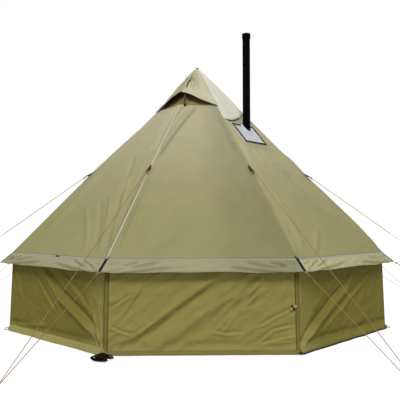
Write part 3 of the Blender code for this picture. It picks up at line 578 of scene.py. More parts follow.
def sideways(turn):
    return azimuth(turn + SIDES / 4)


def on_face(face, side, out, height):
    return azimuth(face) * out + sideways(face) * side + Vector((0.0, 0.0, height))


FOLD_REACH = 2.6
FOLD_END_SHARE = 0.22


def fold(points, width, height):
    """A fold along a line of (across, along) points: the shape of its ridge, or of a valley where below 0."""
    parts, total = [], 0.0
    for (u0, v0), (u1, v1) in zip(points, points[1:]):
        length = math.hypot(u1 - u0, v1 - v0)
        parts.append((u0, v0, (u1 - u0) / length, (v1 - v0) / length, length, total))
        total += length
    reach = FOLD_REACH * width
    us, vs = zip(*points)
    return parts, total, width, height, (min(us) - reach, max(us) + reach, min(vs) - reach, max(vs) + reach)


def lit_fold(points, width, height):
    """A ridge with a valley above it, so that the cloth between them faces up. Below 0 they change places."""
    step = 0.75 * width
    ridge, valley = ([(u, v + sign * step) for u, v in points] for sign in (-1, 1))
    return [(ridge, width, height), (valley, width, -height)]


def fold_height(folds, u, v):
    raised = 0.0
    for parts, total, width, height, (low_u, high_u, low_v, high_v) in folds:
        if not (low_u < u < high_u and low_v < v < high_v):
            continue
        near, at = 9.0, 0.0
        for u0, v0, du, dv, length, before in parts:
            held = max(0.0, min(length, (u - u0) * du + (v - v0) * dv))
            gap = math.hypot(u - u0 - du * held, v - v0 - dv * held)
            if gap < near:
                near, at = gap, before + held
        if near <= FOLD_REACH * width:
            share = at / total
            ends = smoothstep(share / FOLD_END_SHARE) * smoothstep((1 - share) / FOLD_END_SHARE)
            raised += height * ends * bell(near, 0.0, width)
    return raised


def mirrored(folds):
    return [([(-u, v) for u, v in points], width, height) for points, width, height in folds]


def varied(folds, seed):
    """The same kind of folds, each moved and sized a little differently."""
    dice = random.Random(seed)
    made = []
    for points, width, height in folds:
        across, along = dice.uniform(-0.06, 0.06), dice.uniform(-0.03, 0.03)
        grow = dice.uniform(0.8, 1.2)
        moved = [(u + across, v + along) for u, v in points]
        made.append((moved, width * grow, height * dice.uniform(0.7, 1.1)))
    return made


# Folds of the roof as (side, distance down the slope), then width and height
ROOF_FRONT_FOLDS = [
    ([(0.06, 0.55), (-0.151, 0.947), (-0.241, 1.144), (-0.343, 1.391), (-0.46, 1.68)], 0.015, 0.0068),
    ([(0.094, 0.55), (-0.119, 0.947), (-0.211, 1.144), (-0.315, 1.391), (-0.435, 1.68)], 0.014, -0.0046),
    ([(0.026, 0.55), (-0.18, 0.947), (-0.268, 1.144), (-0.37, 1.391), (-0.475, 1.64)], 0.014, -0.0046),
    ([(-0.11, 0.6), (-0.283, 1.047), (-0.378, 1.316), (-0.478, 1.62)], 0.014, -0.006),
    ([(-0.142, 0.6), (-0.312, 1.047), (-0.405, 1.316), (-0.5, 1.6)], 0.014, 0.0052),
    ([(-0.44, 1.7), (-0.51, 1.906), (-0.628, 2.388), (-0.715, 2.75)], 0.02, 0.0046),
    ([(-0.42, 1.72), (-0.47, 1.906), (-0.588, 2.388), (-0.675, 2.75)], 0.022, -0.0046),
    ([(-0.35, 1.62), (-0.5, 2.3), (-0.62, 2.74)], 0.03, 0.0034),
    ([(-0.187, 2.19), (-0.067, 2.16)], 0.01, 0.003),
    ([(0.16, 0.76), (0.36, 1.55)], 0.016, -0.005),
    ([(0.2, 0.76), (0.42, 1.62)], 0.012, 0.004),
    ([(0.4, 1.75), (0.7, 2.72)], 0.02, -0.005),
    ([(0.34, 1.8), (0.6, 2.66)], 0.03, 0.005),
    ([(0.02, 0.8), (0.1, 1.7), (0.05, 2.6)], 0.14, -0.006),
    ([(-0.25, 1.9), (-0.3, 2.7)], 0.09, 0.005),
    ([(0.35, 2.5), (0.1, 2.72)], 0.022, 0.004),
    ([(-0.2, 2.5), (-0.45, 2.73)], 0.022, 0.004),
]
ROOF_LEFT_FOLDS = [
    ([(-0.18, 2.1), (0.2, 2.45), (0.44, 2.75)], 0.022, 0.0028),
    ([(0.02, 2.05), (0.34, 2.42), (0.56, 2.75)], 0.02, -0.0034),
    ([(0.1, 1.95), (0.42, 2.38), (0.64, 2.75)], 0.018, 0.0036),
    ([(0.19, 1.9), (0.5, 2.36), (0.7, 2.75)], 0.018, -0.0034),
    ([(0.18, 1.7), (0.47, 2.2), (0.64, 2.58)], 0.02, 0.0036),
    ([(-0.004, 1.4), (0.484, 2.39)], 0.03, -0.004),
    ([(0.3, 1.5), (0.52, 2.15), (0.69, 2.62)], 0.016, -0.003),
    ([(0.12, 0.6), (0.2, 1.067), (0.33, 1.5)], 0.014, 0.005),
    ([(0.07, 0.6), (0.15, 1.067), (0.29, 1.5)], 0.015, -0.006),
    ([(-0.3, 1.6), (-0.45, 2.6)], 0.06, 0.006),
    ([(-0.55, 2.2), (-0.68, 2.7)], 0.022, 0.005),
    ([(-0.16, 0.8), (-0.36, 1.6)], 0.016, 0.004),
]
ROOF_RIGHT_FOLDS = [
    ([(-0.455, 1.75), (-0.53, 2.2), (-0.715, 2.72)], 0.018, 0.007),
    ([(-0.415, 1.8), (-0.49, 2.25), (-0.665, 2.72)], 0.02, -0.006),
    ([(-0.34, 1.9), (-0.46, 2.4), (-0.6, 2.72)], 0.024, 0.005),
    ([(-0.25, 1.2), (-0.4, 1.7)], 0.014, 0.005),
    ([(-0.215, 1.22), (-0.36, 1.7)], 0.014, -0.005),
    ([(-0.12, 1.34), (-0.14, 1.62)], 0.014, 0.004),
    ([(-0.06, 1.33), (-0.06, 1.58)], 0.014, -0.004),
    ([(0.02, 1.33), (0.03, 1.6)], 0.016, 0.004),
    ([(0.11, 1.33), (0.16, 1.62)], 0.016, -0.004),
    ([(0.15, 1.6), (0.4, 2.3)], 0.08, -0.006),
    ([(0.45, 1.9), (0.68, 2.7)], 0.022, 0.005),
    ([(-0.1, 2.45), (-0.45, 2.72)], 0.022, 0.004),
]

# Folds of the walls as (side, height), then width and height
WALL_FRONT_FOLDS = [
    *lit_fold([(-0.68, 0.02), (-0.37, 0.235), (-0.07, 0.45), (0.2, 0.64)], 0.034, -0.012),
    *lit_fold([(-0.71, 0.21), (-0.6, 0.33), (-0.5, 0.48), (-0.43, 0.66)], 0.018, -0.005),
    ([(-0.48, 0.0), (-0.2, 0.16), (0.05, 0.34), (0.26, 0.52)], 0.04, 0.009),
    ([(0.3, 0.42), (0.46, 0.66)], 0.016, -0.007),
    ([(0.345, 0.42), (0.505, 0.66)], 0.018, 0.006),
    *lit_fold([(0.15, 0.17), (0.24, 0.29), (0.33, 0.41)], 0.012, 0.0045),
    *lit_fold([(0.42, 0.205), (0.56, 0.28), (0.72, 0.36)], 0.012, 0.005),
    *lit_fold([(0.4, 0.06), (0.56, 0.19), (0.74, 0.23)], 0.012, 0.005),
    *lit_fold([(0.44, 0.08), (0.74, 0.15)], 0.011, 0.004),
    ([(0.52, 0.08), (0.735, 0.1)], 0.012, 0.005),
    *lit_fold([(0.05, 0.185), (0.2, 0.16), (0.35, 0.172)], 0.012, 0.0035),
    *lit_fold([(-0.735, 0.35), (-0.54, 0.485)], 0.012, 0.004),
    *lit_fold([(-0.735, 0.23), (-0.64, 0.18), (-0.54, 0.16)], 0.011, 0.004),
    *lit_fold([(0.35, 0.38), (0.48, 0.54)], 0.012, 0.004),
    *lit_fold([(0.5, 0.44), (0.6, 0.56)], 0.011, 0.003),
    ([(0.6, 0.4), (0.7, 0.62)], 0.024, 0.005),
    ([(-0.2, 0.06), (0.38, 0.085)], 0.03, -0.004),
]
WALL_LEFT_FOLDS = [
    *lit_fold([(-0.38, 0.62), (-0.107, 0.385), (0.084, 0.238)], 0.015, 0.006),
    *lit_fold([(-0.23, 0.69), (0.104, 0.413), (0.416, 0.276), (0.72, 0.125)], 0.034, 0.018),
    *lit_fold([(0.06, 0.66), (0.345, 0.475), (0.6, 0.3)], 0.02, 0.006),
    *lit_fold([(-0.145, 0.52), (0.098, 0.31)], 0.012, 0.0035),
    ([(-0.68, 0.06), (-0.08, 0.12)], 0.02, 0.007),
    ([(0.6, 0.33), (0.658, 0.185), (0.735, 0.02)], 0.012, 0.009),
    ([(0.58, 0.24), (0.64, 0.12), (0.7, 0.02)], 0.012, -0.006),
    ([(0.66, 0.46), (0.7, 0.231), (0.745, 0.04)], 0.01, 0.007),
    ([(0.7, 0.64), (0.708, 0.38)], 0.012, -0.006),
    ([(-0.7, 0.64), (-0.56, 0.3)], 0.022, 0.004),
    ([(-0.65, 0.64), (-0.5, 0.3)], 0.02, -0.004),
]
WALL_RIGHT_FOLDS = [
    *lit_fold([(-0.8, -0.01), (-0.64, 0.13), (-0.3, 0.325), (0.0, 0.47), (0.17, 0.65)], 0.03, 0.017),
    *lit_fold([(-0.18, 0.25), (0.082, 0.378), (0.363, 0.501), (0.47, 0.6)], 0.02, 0.008),
    *lit_fold([(-0.72, 0.16), (-0.466, 0.347), (-0.193, 0.508), (-0.05, 0.64)], 0.03, -0.003),
    *lit_fold([(-0.45, 0.12), (-0.214, 0.235), (0.05, 0.35)], 0.018, 0.0035),
    ([(-0.735, 0.64), (-0.715, 0.36)], 0.016, 0.005),
    ([(0.68, 0.6), (0.665, 0.12)], 0.014, 0.005),
    ([(0.64, 0.6), (0.62, 0.12)], 0.016, -0.004),
    ([(0.1, 0.06), (0.5, 0.26)], 0.04, 0.005),
]
WALL_BACK_FOLDS = [
    ([(-0.72, 0.06), (-0.43, 0.33)], 0.022, 0.01),
    ([(-0.7, 0.3), (-0.46, 0.6)], 0.024, -0.01),
    ([(0.71, 0.08), (0.44, 0.35)], 0.022, 0.01),
    ([(0.72, 0.33), (0.47, 0.6)], 0.024, -0.01),
]

ROOF_FOLD_SCALE = 2.7
WALL_FOLD_SCALE = 1.7

# How far two ribs stand off a straight line, as (distance down the slope, rise): the outline left and right
RIB_BENDS = {
    6: ((0.0, 0.0), (0.05, 0.01), (0.3, 0.0), (0.45, -0.016), (0.58, -0.034), (0.7, -0.031), (0.95, -0.03),
        (1.1, -0.022), (1.25, -0.014), (1.45, -0.006), (1.62, 0.0)),
    1: ((1.35, 0.0), (1.5, 0.014), (1.7, 0.006), (1.8, 0.006), (2.0, 0.014), (2.4, 0.02), (2.6, 0.015),
        (2.76, 0.0)),
}


def scaled_folds(chosen, scale):
    return {face: [fold(points, width, height * scale) for points, width, height in folds]
            for face, folds in chosen.items()}


def plan_folds():
    """The folds of every face. The faces out of sight have those of the ones in the photo, varied."""
    roof = {FRONT: ROOF_FRONT_FOLDS, FRONT_RIGHT: ROOF_RIGHT_FOLDS, FRONT_LEFT: ROOF_LEFT_FOLDS}
    wall = {FRONT: WALL_FRONT_FOLDS, FRONT_RIGHT: WALL_RIGHT_FOLDS, FRONT_LEFT: WALL_LEFT_FOLDS,
            BACK: WALL_BACK_FOLDS, 2: varied(WALL_RIGHT_FOLDS, 2), 3: varied(WALL_FRONT_FOLDS, 3),
            5: varied(mirrored(WALL_FRONT_FOLDS), 5), 6: varied(mirrored(WALL_RIGHT_FOLDS), 6)}
    like = {2: ROOF_RIGHT_FOLDS, 3: ROOF_LEFT_FOLDS, 5: ROOF_RIGHT_FOLDS, 6: ROOF_LEFT_FOLDS}
    for face, folds in like.items():
        roof[face] = varied([f for f in folds if f[1] < 0.1], face)
    roof[BACK] = [f for f in varied(ROOF_LEFT_FOLDS, BACK) if abs(f[0][-1][0]) > 0.45]
    return scaled_folds(roof, ROOF_FOLD_SCALE), scaled_folds(wall, WALL_FOLD_SCALE)


ROOF_FOLDS, WALL_FOLDS = plan_folds()


def down_slope(distance, lift=0.0):
    out = distance * math.cos(SLOPE) + lift * math.sin(SLOPE)
    return out, PEAK_HEIGHT - distance * math.sin(SLOPE) + lift * math.cos(SLOPE)


def roof_half(distance):
    return distance * math.cos(SLOPE) * HALF_SHARE


def roof_normal(face):
    return azimuth(face) * math.sin(SLOPE) + UP * math.cos(SLOPE)


def rib_normal(rib):
    return azimuth(rib + 0.5) * math.sin(RIB_SLOPE) + UP * math.cos(RIB_SLOPE)


def rib_line(turn):
    return azimuth(turn) * math.cos(RIB_SLOPE) - UP * math.sin(RIB_SLOPE)


ROOF_SAG = 0.016
# How far in from its edges and openings the cloth's folds fade out
ROOF_EDGE_FADE = 0.040
ROOF_EAVE_FADE = 0.08
CAP_FADE = 0.25
JACK_FADE = 0.06
DOOR_FADE = 0.05
WALL_EDGE_FADE = 0.030
WALL_TOP_FADE = 0.10
WALL_FOOT_FADE = 0.07


def roof_relief(face, side, distance):
    """How far the roof's cloth stands off its flat panel. It hangs in between its ribs, and has folds."""
    half = roof_half(distance)
    share = side / half if half > 0.001 else 1.0
    sag = -ROOF_SAG * max(0.0, 1 - share * share) * math.sin(math.pi * distance / EAVE_DOWN)
    edge = smoothstep((half - abs(side)) / ROOF_EDGE_FADE)
    ends = smoothstep((EAVE_DOWN - distance) / ROOF_EAVE_FADE)
    if face in (FRONT, FRONT_LEFT):
        ends *= smoothstep((distance - VENT_BOTTOM - 0.010) / 0.060)
    strength = 1.0 if face in (FRONT, BACK) else 1.5
    ripple = 0.004 * wavy(side * 5.0, distance * 2.2, face * 7.3)
    raised = (strength * fold_height(ROOF_FOLDS[face], side, distance) + ripple) * edge * ends + sag
    if distance < CAP_HEM + CAP_FADE and (face == FRONT_RIGHT or distance < CAP_HEM):
        raised = min(raised, raised * (1 - smoothstep((CAP_HEM + CAP_FADE - distance) / 0.20)))
    if face == FRONT_RIGHT:
        raised *= max(smoothstep((abs(side) - JACK_WIDTH / 2) / JACK_FADE),
                      smoothstep((abs(distance - JACK_CENTRE) - JACK_LENGTH / 2) / JACK_FADE))
    if face == BACK and distance > DOOR_TOP - DOOR_FADE:
        raised *= smoothstep((abs(side) - DOOR_HALF) / DOOR_FADE)
    return raised


def rib_bend(face, share, distance):
    """The two ribs of the outline aren't straight: the left one hangs in, and the right one stands out."""
    moved = Vector((0.0, 0.0, 0.0))
    for rib, sign in ((face % SIDES, 1), ((face - 1) % SIDES, -1)):
        bends = RIB_BENDS.get(rib, ())
        for (d0, b0), (d1, b1) in zip(bends, bends[1:]):
            if d0 <= distance < d1:
                amount = b0 + (b1 - b0) * smoothstep((distance - d0) / (d1 - d0))
                moved += rib_normal(rib) * amount * max(0.0, (1 + sign * share) / 2) ** 3
    return moved


def roof_point(face, side, distance, lift=0.0):
    point = on_face(face, side, *down_slope(distance, roof_relief(face, side, distance) + lift))
    return point + rib_bend(face, side / roof_half(distance), distance)


def wall_out(height):
    return BASE_OUT - height * math.tan(WALL_LEAN)


CRUMPLE_ANGLE = {FRONT: 0.62, FRONT_LEFT: -0.55, FRONT_RIGHT: 0.68}


def wall_crumple(face, side, height):
    """Narrow wrinkles along the way the slack cloth is drawn, sharp at their ridges."""
    angle = CRUMPLE_ANGLE.get(face, 0.6 if face % 2 else -0.6)
    along = side * math.cos(angle) + height * math.sin(angle)
    across = height * math.cos(angle) - side * math.sin(angle)
    bend = 0.05 * wavy(side * 2.5, height * 2.5, face + 3.0)
    broad = 1 - 2 * abs(wavy(along * 1.6, (across + bend) * 7.0, face * 2.3))
    narrow = 1 - 2 * abs(wavy(along * 3.6, (across + bend) * 17.0, face * 4.1 + 7))
    patch = 0.5 + 0.9 * wavy(side * 2.2, height * 3.4, face * 1.7 + 60)
    strength = 1.0 if face == FRONT else 0.32
    return strength * (0.009 * (broad - 0.6) + 0.011 * (narrow - 0.6) * max(0.15, patch))


def wall_relief(face, side, height):
    """How far a wall's cloth stands off its flat panel."""
    edge = smoothstep((wall_out(height) * HALF_SHARE - abs(side)) / WALL_EDGE_FADE)
    ends = smoothstep((WALL_TOP - height) / WALL_TOP_FADE)
    ends *= 0.25 + 0.75 * smoothstep(height / WALL_FOOT_FADE)
    ripple = 0.005 * wavy(side * 4.0, height * 6.0, face * 5.1 + 40)
    small = 0.0030 * wavy(side * 13.0, height * 17.0, face * 3.7 + 9)
    raised = fold_height(WALL_FOLDS[face], side, height) + ripple + small + wall_crumple(face, side, height)
    flare = (0.008 if face == FRONT else 0.026) * (1 + 0.5 * wavy(side * 6.0, 3.0, face * 2.9))
    flared = smoothstep((0.055 - height) / 0.045) - 0.5 * bell(height, 0.085, 0.028)
    raised = raised * edge * ends + flare * edge * flared
    if face == BACK:
        raised *= smoothstep((abs(side) - DOOR_HALF) / DOOR_FADE)
    return raised


def wall_point(face, side, height, lift=0.0):
    out = wall_out(height) + (wall_relief(face, side, height) + lift) / math.cos(WALL_LEAN)
    return on_face(face, side, out, height)


def wall_corner(face, sign, inset, height):
    """A point of a wall, at a distance in from its right (1) or left (-1) edge."""
    return wall_point(face, sign * (wall_out(height) * HALF_SHARE - inset), height)


def wall_normal(face):
    return azimuth(face) * math.cos(WALL_LEAN) + UP * math.sin(WALL_LEAN)


# Creases of the skirt as shares: down at the corner, then across and down at the far end
SKIRT_CREASE_SHARES = ((0.90, 0.42, 0.10), (0.62, 0.62, 0.14), (0.80, 0.74, 0.36), (0.97, 0.15, 0.50),
                       (0.35, 0.84, 0.20))


def skirt_creases(face):
    """Creases that fan from the corners' straps, as (side, distance down from the eave) lines."""
    dice = random.Random(face + 60)
    made = []
    for sign in (-1, 1):
        for near, far, high in SKIRT_CREASE_SHARES:
            end = far + dice.uniform(-0.07, 0.07)
            line = [(0.985, near), ((0.985 + end) / 2, (near + high) / 2 + 0.06), (end, high)]
            line = [(sign * u * SKIRT_HALF, v * SKIRT_LENGTH) for u, v in line]
            made.append(fold(line, 0.0140, 0.0120))
            made.append(fold([(u - sign * 0.002, v + 0.024) for u, v in line], 0.0140, -0.0110))
    middle = dice.uniform(-0.12, 0.12)
    made.append(fold([(middle - 0.25, 0.120), (middle + 0.15, 0.030)], 0.012, 0.0070))
    made.append(fold([(middle + 0.08, 0.135), (middle + 0.42, 0.030)], 0.012, -0.0080))
    return made


SKIRT_CREASES = [skirt_creases(face) for face in range(SIDES)]


def skirt_normal(turn):
    return azimuth(turn) * math.sin(SKIRT_FALL) + UP * math.cos(SKIRT_FALL)


def skirt_out(down):
    return EAVE_OUT + (SKIRT_OUT - EAVE_OUT) * down


def skirt_point(face, share, down, lift=0.0):
    """A point of the skirt, at a share of its half width and a share of the way down from the eave."""
    out = skirt_out(down)
    side = share * out * HALF_SHARE
    droop = (0.003 * math.sin(math.pi * 3 * share + face) - 0.002) * (1 - share * share) * down
    crease = fold_height(SKIRT_CREASES[face], side, down * SKIRT_LENGTH) * smoothstep(down / 0.25)
    small = 0.0030 * wavy(side * 16.0, down * 2.5, face * 5.0) * smoothstep(down / 0.2) * (1 - share ** 8)
    belly = 0.006 * math.sin(math.pi * min(1.0, down)) * (1 - share ** 6)
    raised = droop + crease * smoothstep((1 - abs(share)) / 0.03) + belly + small + lift
    return on_face(face, side, out + raised * math.sin(SKIRT_FALL),
                   EAVE_HEIGHT - SKIRT_DROP * down + raised * math.cos(SKIRT_FALL))


# Roof

def vent_half(distance):
    return roof_half(distance) - VENT_MARGIN


OPENINGS = {
    FRONT: (VENT_TOP, VENT_BOTTOM, vent_half),
    FRONT_LEFT: (VENT_TOP, VENT_BOTTOM, vent_half),
    FRONT_RIGHT: (JACK_CENTRE - JACK_LENGTH / 2 + JACK_BORDER, JACK_CENTRE + JACK_LENGTH / 2 - JACK_BORDER,
                  lambda distance: JACK_WIDTH / 2 - JACK_BORDER),
    BACK: (DOOR_TOP, EAVE_DOWN, lambda distance: DOOR_HALF),
}


# How many columns of cloth lie beside, in and beside an opening, and how many on a face without one
ROOF_COLUMNS = (9, 14, 9)
PLAIN_COLUMNS = 30
WALL_COLUMNS = (12, 18, 12)
FINE_WALL_COLUMNS = (60, 96, 60)


def fineness(face):
    return 4 if face in FINE_FACES else 1


def roof_sides(face, distance):
    """The columns of a face at a distance, with two of them on the edges of its opening."""
    half = roof_half(distance)
    fine = fineness(face)
    if face not in OPENINGS:
        return spread((PLAIN_COLUMNS * fine,), (-half, half))
    top, bottom, opening = OPENINGS[face]
    edge = max(0.15 * half, min(0.85 * half, opening(max(top, min(bottom, distance)))))
    return spread([count * fine for count in ROOF_COLUMNS], (-half, -edge, edge, half))


def all_round(levels, point, sides):
    """Rows of points right round the tent, and the (face, column) of each point of a row."""
    rows = [[point(face, side, level) for face in range(SIDES) for side in sides(face, level)[:-1]]
            for level in levels]
    return rows, [(face, j) for face in range(SIDES) for j in range(len(sides(face, levels[0])) - 1)]


def make_roof():
    marks = sorted({ROOF_START, EAVE_DOWN} | {mark for opening in OPENINGS.values() for mark in opening[:2]})
    distances = spread([max(1, math.ceil((b - a) / 0.015)) for a, b in zip(marks, marks[1:])], marks)
    rows, columns = all_round(distances, roof_point, roof_sides)

    def opened(i, j):
        face, column = columns[j]
        if face not in OPENINGS:
            return False
        top, bottom, _ = OPENINGS[face]
        middle = (distances[i] + distances[i + 1]) / 2
        return top < middle < bottom and ROOF_COLUMNS[0] <= column / fineness(face) < sum(ROOF_COLUMNS[:2])

    made = grid_piece("roof_fabric", rows, ROOF, wrap=True, skip=opened)
    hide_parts(*[f"roof_panel_{label}" for label in FACE_NAMES])


# Walls

def wall_sides(face, height):
    half = wall_out(height) * HALF_SHARE
    counts = FINE_WALL_COLUMNS if face in FINE_FACES else WALL_COLUMNS
    return spread(counts, (-half, -DOOR_HALF, DOOR_HALF, half))


def make_walls():
    heights = spread((96,), (0.0, WALL_TOP))
    heights = sorted({h for h in heights if abs(h - DOOR_SILL) > 0.004} | {DOOR_SILL}, reverse=True)
    rows, columns = all_round(heights, wall_point, wall_sides)

    def opened(i, j):
        face, column = columns[j]
        in_door = WALL_COLUMNS[0] <= column < sum(WALL_COLUMNS[:2])
        return face == BACK and in_door and heights[i + 1] >= DOOR_SILL - 0.001

    made = grid_piece("wall_fabric", rows, WALL, wrap=True, skip=opened)
    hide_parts(*[f"wall_panel_{label}" for label in FACE_NAMES])


HEM_TOP = 0.036
HEM_TOPS = {FRONT_LEFT: 0.056, FRONT_RIGHT: 0.022}
HEM_FOOT = 0.001
HEM_EDGE_TOP = 0.013
CORNER_ACROSS = (0.017, 0.008, 0.0)
CORNER_SEAM_ACROSS = (0.0165, 0.0235)
CORNER_BAND_STOP = 0.048


def make_wall_trim():
    """The hem band, its stitching, its dark edge on the right, and the seams down the corners."""
    solids, pale, lines, bands, seams = [], [], [], [], []
    shares = spread((60,), (-1.0, 1.0))
    half = wall_out(0.0) * HALF_SHARE
    for face in range(SIDES):
        normal = wall_normal(face)
        top = HEM_TOPS.get(face, HEM_TOP)
        band = (HEM_FOOT, 0.35 * top, 0.68 * top, top)
        rows = [[wall_point(face, share * wall_out(h) * HALF_SHARE, h) for h in band] for share in shares]
        # The front left face's band takes the lighter hem cloth: painted light
        (pale if face == FRONT_LEFT else solids).append(strip_solid(rows, normal, 0.0004, 0.0016))
        for h, lift in ((top - 0.003, 0.0022), (top + 0.002, 0.0006)):
            line = [wall_point(face, share * (half - 0.006), h, lift) for share in shares]
            lines.append(tube_solid(line, STITCH_RADIUS, 5))
        if face == FRONT_RIGHT:
            rows = [[wall_point(face, share * (half - 0.002), h) for h in (HEM_FOOT, HEM_EDGE_TOP)]
                    for share in shares]
            merged("wall_hem_edge", [strip_solid(rows, normal, 0.0018, 0.0028)], DARK_EDGE)
    merged("wall_hem_band", solids, HEM)
    merged("wall_hem_band_left", pale, HEM_LIT)
    merged("wall_hem_stitching", lines, STITCH)
    heights = spread((40,), (0.002, WALL_TOP - CORNER_BAND_STOP))
    for rib in range(SIDES):
        after = (rib + 1) % SIDES
        rows = [[wall_corner(rib, 1, s, h) for s in CORNER_ACROSS]
                + [wall_corner(after, -1, s, h) for s in CORNER_ACROSS[1::-1]] for h in heights]
        across = [wall_normal(rib)] * 2 + [azimuth(rib + 0.5)] + [wall_normal(after)] * 2
        bands.append(strip_solid(rows, [across] * len(rows), 0.0006, 0.0012))
        for face, sign in ((rib, 1), (after, -1)):
            if face % 2 == 0 or rib == FRONT_LEFT:
                rows = [[wall_corner(face, sign, s, h) for s in CORNER_SEAM_ACROSS] for h in heights]
                seams.append(strip_solid(rows, wall_normal(face), 0.0008, 0.0008))
    merged("wall_corner_bands", bands, CORNER)
    merged("wall_corner_seams", seams, SEAM_AND_SHADOW)


# Skirt

SKIRT_COLUMNS = 60
FINE_SKIRT_COLUMNS = 280


def make_skirt():
    downs = spread((28,), (0.0, 1.0))
    edge = (DOOR_HALF + DOOR_GAP / 2) / SKIRT_HALF
    places = [(BACK, share) for share in spread((14,), (edge, 1.0))[:-1]]
    for face in (5, 6, 7, 0, 1, 2, 3):
        count = FINE_SKIRT_COLUMNS if face in FINE_FACES else SKIRT_COLUMNS
        places += [(face, share) for share in spread((count,), (-1.0, 1.0))[:-1]]
    places += [(BACK, share) for share in spread((14,), (-1.0, -edge))]
    rows = [[skirt_point(face, share, down) for face, share in places] for down in downs]
    made = grid_piece("skirt_fabric", rows, SKIRT)
    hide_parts("eave_skirt")

    half = DOOR_HALF - DOOR_GAP / 2
    sides = spread((24,), (-half, half))
    rows = [[skirt_point(BACK, side / (skirt_out(down) * HALF_SHARE), down) for side in sides]
            for down in downs]
    door = grid_piece("door_skirt_fabric", rows, SKIRT, "door_upper")
    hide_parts("door_skirt")


# Places of the eave's tape and of the hem's stitching on the skirt, as shares
STITCH_DOWN = 0.93
TAPE_DOWN = (0.01, 0.065, 0.12)
TAPE_ENDS = (-0.985, 0.985)
TAPE_JOIN = (0.04, 0.12)


def make_eave_tape():
    """Reflective tape along the eave, its dark join at the front left, and the stitching of the hem."""
    def sewn(face, start, end, count, thick=0.0012):
        shares = spread((count,), (start, end))
        rows = [[skirt_point(face, share, down) for down in TAPE_DOWN] for share in shares]
        return strip_solid(rows, skirt_normal(face), 0.0004, thick)

    solids, lines = [], []
    edge, reach = ((DOOR_HALF + room) / SKIRT_HALF for room in (0.004, -0.004))
    for face in range(SIDES):
        for start, end in [TAPE_ENDS] if face != BACK else [(TAPE_ENDS[0], -edge), (edge, TAPE_ENDS[1])]:
            cuts = [(start, end)] if face != FRONT_LEFT else [(start, TAPE_JOIN[0]), (TAPE_JOIN[1], end)]
            solids += [sewn(face, a, b, max(8, int((b - a) * 40))) for a, b in cuts]
            shares = spread((60,), (start, end))
            line = [skirt_point(face, share, STITCH_DOWN, STITCH_RADIUS) for share in shares]
            lines.append(tube_solid(line, STITCH_RADIUS, 5))
    merged("eave_tape", solids, TAPE)
    merged("eave_tape_join", [sewn(FRONT_LEFT, *TAPE_JOIN, 6, 0.0010)], WEBBING)
    merged("skirt_hem_stitching", lines, STITCH)
    merged("door_eave_tape", [sewn(BACK, -reach, reach, 30)], TAPE, "door_upper")


STRAP_ACROSS = (0.0125, 0.006, 0.0)
STRAP_TUCK = 0.03


def make_corner_straps():
    """Black webbing over each corner of the skirt, with a loop at its end for the rope."""
    solids, loops = [], []
    for rib in range(SIDES):
        away = azimuth(rib + 0.5)
        normal = skirt_normal(rib + 0.5)
        rows = []
        for down in spread((12,), (-0.04, 0.99)):
            flat = max(0.0, down)
            half = skirt_out(flat) * HALF_SHARE
            row = [skirt_point(rib, 1 - s / half, flat) for s in STRAP_ACROSS]
            row += [skirt_point((rib + 1) % SIDES, -1 + s / half, flat) for s in STRAP_ACROSS[1::-1]]
            rows.append([p - rib_line(rib + 0.5) * STRAP_TUCK for p in row] if down < 0 else row)
        solids.append(strip_solid(rows, normal, 0.0012, 0.0018))
        tip = away * (EAVE_RADIUS + SKIRT_REACH) + UP * (EAVE_HEIGHT - SKIRT_DROP)
        fall = away * math.cos(SKIRT_FALL) - UP * math.sin(SKIRT_FALL)
        ring = ellipse(tip + fall * 0.0026 - normal * 0.001, sideways(rib + 0.5) * 0.010, fall * 0.0066, 20)
        loops.append(tube_solid(ring, 0.0018, 6, True))
    merged("corner_straps", solids, WEBBING)
    merged("corner_rings", loops, FITTING)


# Ribs

def rib_rows(rib, distances, offsets):
    """Points across a rib, at offsets to either side of it, for each distance down the slope."""
    after = (rib + 1) % SIDES
    normals = [rib_normal(rib) if s == 0 else roof_normal(after if s > 0 else rib) for s in offsets]
    rows = []
    for distance in distances:
        half = roof_half(distance)
        rows.append([roof_point(after, s - half, distance) if s > 0 else roof_point(rib, half + s, distance)
                     for s in offsets])
    return rows, [normals] * len(rows)


TAPED_RIBS = (3, 7)
LOW_HOOD_RIBS = (0, 1)
RIB_TAPE_ACROSS = (-0.0055, -0.0028, 0.0, 0.0028, 0.0055)
RIB_SHADOW_ACROSS = (-0.0125, -0.0095, -0.006)
RIB_SEAM_ACROSS = (-0.012, -0.009, -0.005, 0.0, 0.005, 0.009, 0.012)
RIB_SEAM_RISES = (0.0, 0.0, 0.0018, 0.003, 0.0018, 0.0, 0.0)


